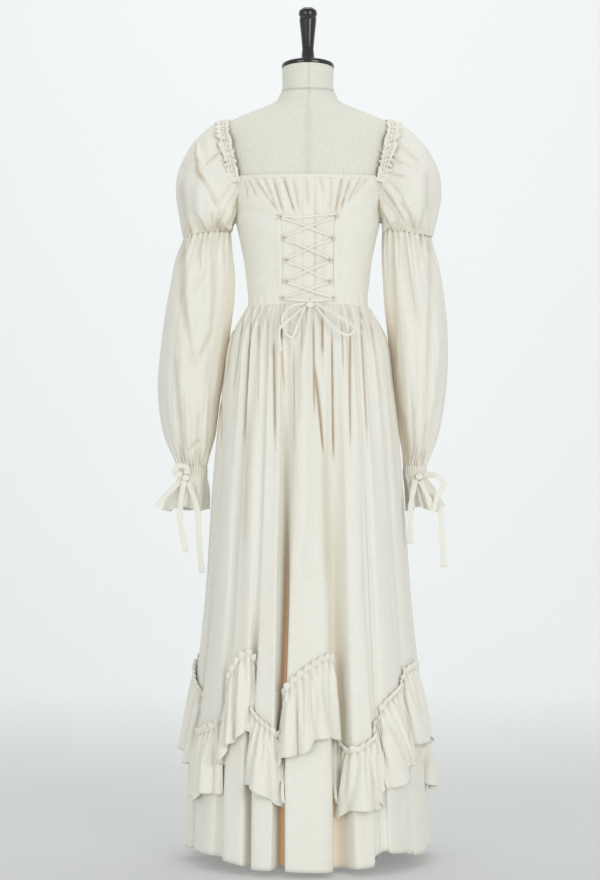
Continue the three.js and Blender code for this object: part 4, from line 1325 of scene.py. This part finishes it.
THREAD = sewing_thread()
for k, name in enumerate(WIDTHS):
    place, run = evenly_along_seam(4 * k + 0.004, 4 * k + 3.996, 600)
    seam = seam_height(place)
    longer = FLOUNCE_DROP["peak"] - FLOUNCE_DROP["valley"]
    drop = FLOUNCE_DROP["valley"] + longer * (seam - SEAM_LOWEST) / SEAM_RISE
    phase = 2 * np.pi * run / RUFFLE_LENGTH + 1.3 * np.sin(run / 61 + k) + 0.8 * np.sin(run / 27)
    small = 2 * np.pi * run / PUCKER_LENGTH + 1.6 * np.sin(run / 23)
    _, _, fold_phase, _, _ = fold_at(place)
    crown = 0.35 + 0.65 * smooth(0.0, 0.3, 0.5 * (1 - np.cos(2 * np.pi * fold_phase)))
    levels = np.concatenate([np.linspace(-1, 0, 8)[:-1], np.linspace(0, 1, 30)])[:, None]
    above = np.clip(-levels, 0, 1)
    below = np.clip(levels, 0, 1)
    z = seam[None] + above * HEADING - below * drop[None]
    hung = place[None] + below * free_edge_shift(place)[None]
    points, normal = skirt_frame(hung, z)
    wave = 0.5 * (1 + np.cos(phase)) + 0.22 * np.cos(phase * 0.5 + 1)
    pucker = np.cos(small)
    out = 2.6 + 1.0 * pucker * np.exp(-((levels * 9) ** 2))
    out = out + 7.5 * np.sin(above * 2.2) * (0.7 + 0.4 * pucker)
    out = out + 2.6 * np.cos(phase * 2.3 + 1) * smooth(0.05, 0.25, below) * smooth(0.9, 0.5, below)
    out = out + below**0.7 * (3 + 17 * wave) * crown
    out = out + 3.0 * pucker * smooth(0, 0.08, below) * smooth(0.5, 0.05, below)
    grid = points + normal * out[..., None]
    sway = np.gradient(points, axis=1)
    sway /= np.maximum(np.linalg.norm(sway, axis=-1, keepdims=True), 1e-6)
    sway[..., 2] = 0
    grid = grid + sway * (4.5 * np.sin(phase) * below**0.9 * crown)[..., None]
    grid[..., 2] += (7 * np.cos(phase * 0.5 + 0.7) - 2 * np.cos(phase)) * below**2 + 2.2 * pucker * above
    shade = 0.6 * smooth(0.0, -1.0, pucker) * smooth(0.14, 0.0, np.abs(levels - 0.02))
    shade = np.clip(shade + 0.16 * smooth(0.35, 0.0, wave) * below, 0, 0.7)
    flounce = surface(f"skirt_flounce_{name}_cloth", grid, TRIM, thick=0.9, shades={"deep": shade})
    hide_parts(f"skirt_flounce_{name}")
    cut_of(grid)
    stitched(f"flounce_stitches_{name}", grid[7] + normal[7] * 0.3, material=THREAD, **STITCH)


# Lacing: five small loops of rolled cotton sewn along each laced edge, and a flat tube lace
# that crosses between them four times, from a straight bar at the top to the bow.
LACE_WIDTH = 5
LACE_LOOPS = table("z x", (1284, 54), (1242, 47), (1199, 42), (1157, 42), (1124, 48))
BOW = np.array([4, -98, 1110])


def curve_through(points, count):
    """A smooth line through points, sampled evenly along its length; returns its length too."""
    points = np.asarray(points, float)
    knots = np.concatenate([[0], np.cumsum(np.linalg.norm(np.diff(points, axis=0), axis=1) ** 0.5)])
    fine = np.linspace(0, knots[-1], 40 * len(points))
    line = np.stack(
        [read({"t": knots, "v": points[:, axis]}, "t", fine, "v") for axis in range(3)], axis=-1
    )
    run = lengths(line)
    at = np.linspace(0, run[-1], count)
    return np.stack([np.interp(at, run, line[:, axis]) for axis in range(3)], axis=-1), run[-1]


def ribbon(name, points, wide, thick, material, steps=80, taper=0.0, sides=12, sunk=0.0):
    """A flat cord or ribbon along a line, its flat side to the back; returns its line too. The
    value sunk paints shade into its middle.
    """
    line, length = curve_through(points, steps)
    ahead = np.gradient(line, axis=0)
    ahead /= np.linalg.norm(ahead, axis=1, keepdims=True)
    across = np.cross(ahead, np.array([0.0, -1.0, 0.0]))
    across /= np.linalg.norm(across, axis=1, keepdims=True)
    up = np.cross(across, ahead)
    turn = 2 * np.pi * (np.arange(sides) + 0.5) / sides
    t = np.linspace(0, 1, steps)
    crush = 1 + 0.10 * np.sin(t * length / 9) + 0.06 * np.sin(t * length / 4)
    half = wide / 2 * crush * (1 - taper * (smooth(0.35, 0, t) + smooth(0.65, 1, t)))
    half = half * (1 + 0.2 * taper * np.cos(t * 6 * np.pi))
    flat = bend(np.cos(turn), 3)
    grid = line[:, None] + across[:, None] * (half[:, None] * flat)[..., None]
    grid = grid + up[:, None] * (thick / 2 * np.sin(turn) / crush[:, None])[..., None]
    # Painted shade in the middle of the cord, as strong as sunk.
    deep = sunk * np.sin(np.pi * t[:, None]) ** 6
    piece = surface(name, grid, material, ring=True, thick=0, shades={"deep": deep})
    close_ends(piece, steps, sides)
    return piece, line * MM, length * MM


def on_back(x, z, out):
    """A point on the back of the bodice, lifted off its cloth."""
    return on_form(angle_at(x, z, CLOTH_OUT), z, CLOTH_OUT + out)


for i, (z, x) in enumerate(zip(LACE_LOOPS["z"], LACE_LOOPS["x"])):
    for side, label in ((-1, "left"), (1, "right")):
        path = [
            on_back(x + 8, z + 3.0, 0.6),
            on_back(x + 2, z + 3.5, 6),
            on_back(x - 3, z, 7.6),
            on_back(x + 2, z - 3.5, 6),
            on_back(x + 8, z - 3.0, 0.6),
        ]
        path = np.array(path) * np.array([side, 1, 1])
        # Painted shade darkens each loop's middle, where the lace passes through it.
        loop, _, _ = ribbon(f"lace_loop_{label}_{i + 1}_cloth", path, 2.4, 2.0, TRIM, steps=30, sunk=1.0)
        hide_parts(f"lace_loop_{label}_{i + 1}")


TOP_BAR = [(55, 1290, 3.4), (19, 1286, 2.6), (-20, 1282, 2.6), (-44, 1284, 3.2)]


def lace_path(start_side, lift):
    """Route of one lacing cord, the same points as its solid."""
    path = [] if start_side > 0 else [on_back(x, z, out) for x, z, out in TOP_BAR]
    last = len(LACE_LOOPS["z"]) - 1
    for i, (z, x) in enumerate(zip(LACE_LOOPS["z"], LACE_LOOPS["x"])):
        side = start_side if i % 2 == 0 else -start_side
        path.append(on_back(side * (x + 1), z, 4.6 if i == last else 3.4))
        if i < last:
            after = LACE_LOOPS["z"][i + 1]
            path.append(on_back(side * x * 0.33, z + (after - z) * 0.33, 3.2 + lift))
            path.append(on_back(-side * x * 0.33, z + (after - z) * 0.67, 3.2 + lift))
    path.append(BOW + [start_side * 26, 1, 9.5])
    path.append(BOW + [start_side * 0.5, 0, 8.2])
    return path


for name, start_side, lift in (("lace_lower", -1, 0), ("lace_upper", 1, 3.6)):
    lace, _, _ = ribbon(name + "_cloth", lace_path(start_side, lift), LACE_WIDTH, 2, TRIM, steps=220)
    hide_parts(name)


# Bow at the waist: the lace's own ends tied over the opening, so it is the same flat cord.
# Two loops and a short and a long tail come out of the knot and hang freely.
BOW_PIECES = {
    "bow_knot": [(-8, 0, 0), (8, 0, 0)],
    "bow_loop_left": [
        (-10.6, 1.7, 3),
        (-40, 18, -6),
        (-55, 28, -30),
        (-49, 34, -56),
        (-36, 35, -66),
        (-25, 30, -42),
        (-10.6, 1.7, -3),
    ],
    "bow_loop_right": [
        (10.4, 1.7, 3),
        (46, 24, -18),
        (74, 35, -36),
        (88, 42, -50),
        (76, 45, -62),
        (50, 40, -50),
        (10.4, 1.7, -3),
    ],
    "lace_tail_short": [(-10.2, -1.7, -3), (-36, 26, -26), (-60, 42, -50), (-59, 52, -78), (-57, 54, -94)],
    "lace_tail_long": [
        (-1, 2, -6.1),
        (-6, 38, -54),
        (-13, 62, -108),
        (-11, 82, -190),
        (-15, 96, -240),
        (-15, 114, -350),
        (-19, 126, -440),
        (-27, 132, -492),
        (-19, 136, -536),
    ],
}
bow_made = {}
for name, offsets in BOW_PIECES.items():
    path = [BOW + [x, -out, z] for x, out, z in offsets]
    if name == "bow_knot":
        path.insert(1, BOW + [0, -0.5, 0])
    wide, thick, taper = (12, 8, 0.45) if name == "bow_knot" else (LACE_WIDTH, 2, 0)
    steps = max(24, len(path) * 16)
    piece, line, length = ribbon(name + "_cloth", path, wide, thick, TRIM, steps, taper)
    bow_made[name] = (piece, line, length)
    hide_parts(name)
for name in ("bow_loop_left", "bow_loop_right", "lace_tail_short", "lace_tail_long"):
    piece, line, length = bow_made[name]
    end = "object" if "loop" in name else "knot"


# Wrist ties: a narrow ribbon of the trimming cotton round each wrist casing, tied on its
# outer side in a knot with one loop, its ends hanging over the cuff.
RIBBON_WIDTH = 11
WRIST_KNOT = {"left": np.array([-246, -19, 766]), "right": np.array([224, -19.5, 768])}
WRIST_TIES = {
    "left": {
        "knot": [(-7, 0, 0), (7, 0, 0)],
        "loop": [(-7, 3, 6.4), (-22, 10, 10), (-16, 12, 23), (2, 13, 22), (2.5, 8, 8)],
        "streamer": [(-8.8, -1, -5), (-34, 20, -30), (-58, 27, -57)],
        "tail_short": [(-3, 3.4, -5.2), (-10, 30, -73), (2, 34, -148)],
        "tail_long": [(4.6, 1.2, -7.2), (24, 32, -61), (28, 36, -121), (34, 37, -189)],
    },
    "right": {
        "knot": [(-7, 0, 0), (7, 0, 0)],
        "loop": [
            (8.1, 3, 3.6),
            (34, 22, 2),
            (48, 26, -14),
            (34, 28, -40),
            (26, 30, -66),
            (17, 22, -42),
            (2, 7.5, -8),
        ],
        "tail_long": [(5.6, -0.4, -7.4), (40, 20, -66), (44, 28, -116), (48, 30, -180)],
        "tail_short": [(-7.6, 3, -5), (-18, 29, -56), (-20, 32, -134)],
    },
}
for label, pieces in WRIST_TIES.items():
    for part, offsets in pieces.items():
        path = [WRIST_KNOT[label] + [x, -out, z] for x, out, z in offsets]
        if part == "knot":
            path.insert(1, WRIST_KNOT[label] + [0, -0.5, 0])
        wide, thick, taper = (12, 9, 0.4) if part == "knot" else (RIBBON_WIDTH, 1.4, 0)
        name = f"wrist_{part}_{label}"
        steps = max(24, len(path) * 14)
        piece, line, length = ribbon(name + "_cloth", path, wide, thick, TRIM, steps, taper)
        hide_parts(name)
        if part != "knot":
            end = "object" if part == "loop" else "bare"
            length > 6 * RIBBON_WIDTH * MM


# Studio: one pale sweep of paper from the floor up the backdrop, two large soft lights at
# the camera's sides and one over the backdrop. Nothing of it belongs to the dress.
def studio_paper():
    """Matt paper with a faint painted glow that lifts its shadows, painted greyer on the floor
    than up the wall, standing in for the weaker light on the floor.
    """
    painted_glow = (0.80, 0.815, 0.80, 1)
    shader = Shader(
        "studio_paper", roughness=0.9, emission_color=painted_glow, emission_strength=0.30
    )
    mottling = shader.noise(shader.place((2, 2, 2)), detail=2.0)
    height = shader.node("ShaderNodeSeparateXYZ", None, shader.place((1, 1, 1)), output=2)
    floor = shader.mix(mottling, (0.40, 0.415, 0.405, 1), (0.41, 0.425, 0.415, 1))
    wall = shader.mix(mottling, (0.57, 0.592, 0.605, 1), (0.58, 0.602, 0.615, 1))
    # Painted shade: the floor darker than the wall.
    shader.colour(shader.mix(height.ramp(0.0, 0.16), floor, wall))
    return shader.material


SWEEP_STARTS = 700
SWEEP_RADIUS = 3200
SWEEP_TOP = 5200
arc = np.linspace(0, np.pi / 2, 90)
curve_y = SWEEP_STARTS + SWEEP_RADIUS * np.sin(arc)
sweep_y = np.concatenate([[-6000, -2000], curve_y, [SWEEP_STARTS + SWEEP_RADIUS]])
sweep_z = np.concatenate([[0, 0], SWEEP_RADIUS * (1 - np.cos(arc)), [SWEEP_TOP]])
sweep_x = np.linspace(5000, -5000, 4)
sweep_grid = np.stack(
    np.broadcast_arrays(sweep_x[None], sweep_y[:, None], sweep_z[:, None]), axis=-1
).astype(float)
sweep_mesh = bpy.data.meshes.new("studio_sweep")
sweep_index = np.arange(sweep_y.size * 4).reshape(sweep_y.size, 4)
sweep_faces = np.stack(
    [sweep_index[:-1, :-1], sweep_index[:-1, 1:], sweep_index[1:, 1:], sweep_index[1:, :-1]], axis=-1
).reshape(-1, 4)
sweep_mesh.from_pydata((sweep_grid.reshape(-1, 3) * MM).tolist(), [], sweep_faces.tolist())
sweep_mesh.polygons.foreach_set("use_smooth", np.ones(len(sweep_faces), bool))
sweep_mesh.materials.append(studio_paper())
sweep = bpy.data.objects.new("studio_sweep", sweep_mesh)
bpy.context.scene.collection.objects.link(sweep)

LIGHTS = table(
    "x y z aim_x aim_y aim_z size power warm",
    (2.5, -4.3, 1.6, 0, 0, 0.8, 2.4, 70, 0.99),
    (-2.6, -4.2, 1.3, 0, 0, 0.8, 2.4, 42, 0.985),
    (0.0, 1.2, 4.2, 0, 3.8, 1.4, 3.0, 60, 0.97),
)
for k in range(len(LIGHTS["x"])):
    row = {name: LIGHTS[name][k] for name in LIGHTS}
    light_data = bpy.data.lights.new(f"softbox_{k + 1}", "AREA")
    light_data.shape = "SQUARE"
    light_data.size = row["size"]
    light_data.energy = row["power"]
    light_data.color = (1.0, 0.99, row["warm"])
    softbox = bpy.data.objects.new(f"softbox_{k + 1}", light_data)
    softbox.location = (row["x"], row["y"], row["z"])
    aim = np.array([row["aim_x"] - row["x"], row["aim_y"] - row["y"], row["aim_z"] - row["z"]])
    flat = math.hypot(aim[0], aim[1])
    softbox.rotation_euler = (math.atan2(flat, -aim[2]), 0, math.atan2(-aim[0], aim[1]))
    bpy.context.scene.collection.objects.link(softbox)

AIR_COLOUR = (0.97, 0.985, 0.98, 1)
AIR_STRENGTH = 0.585
world = bpy.data.worlds.new("studio_air")
world.use_nodes = True
air = world.node_tree.nodes["Background"]
air.inputs["Color"].default_value = AIR_COLOUR
air.inputs["Strength"].default_value = AIR_STRENGTH
bpy.context.scene.world = world
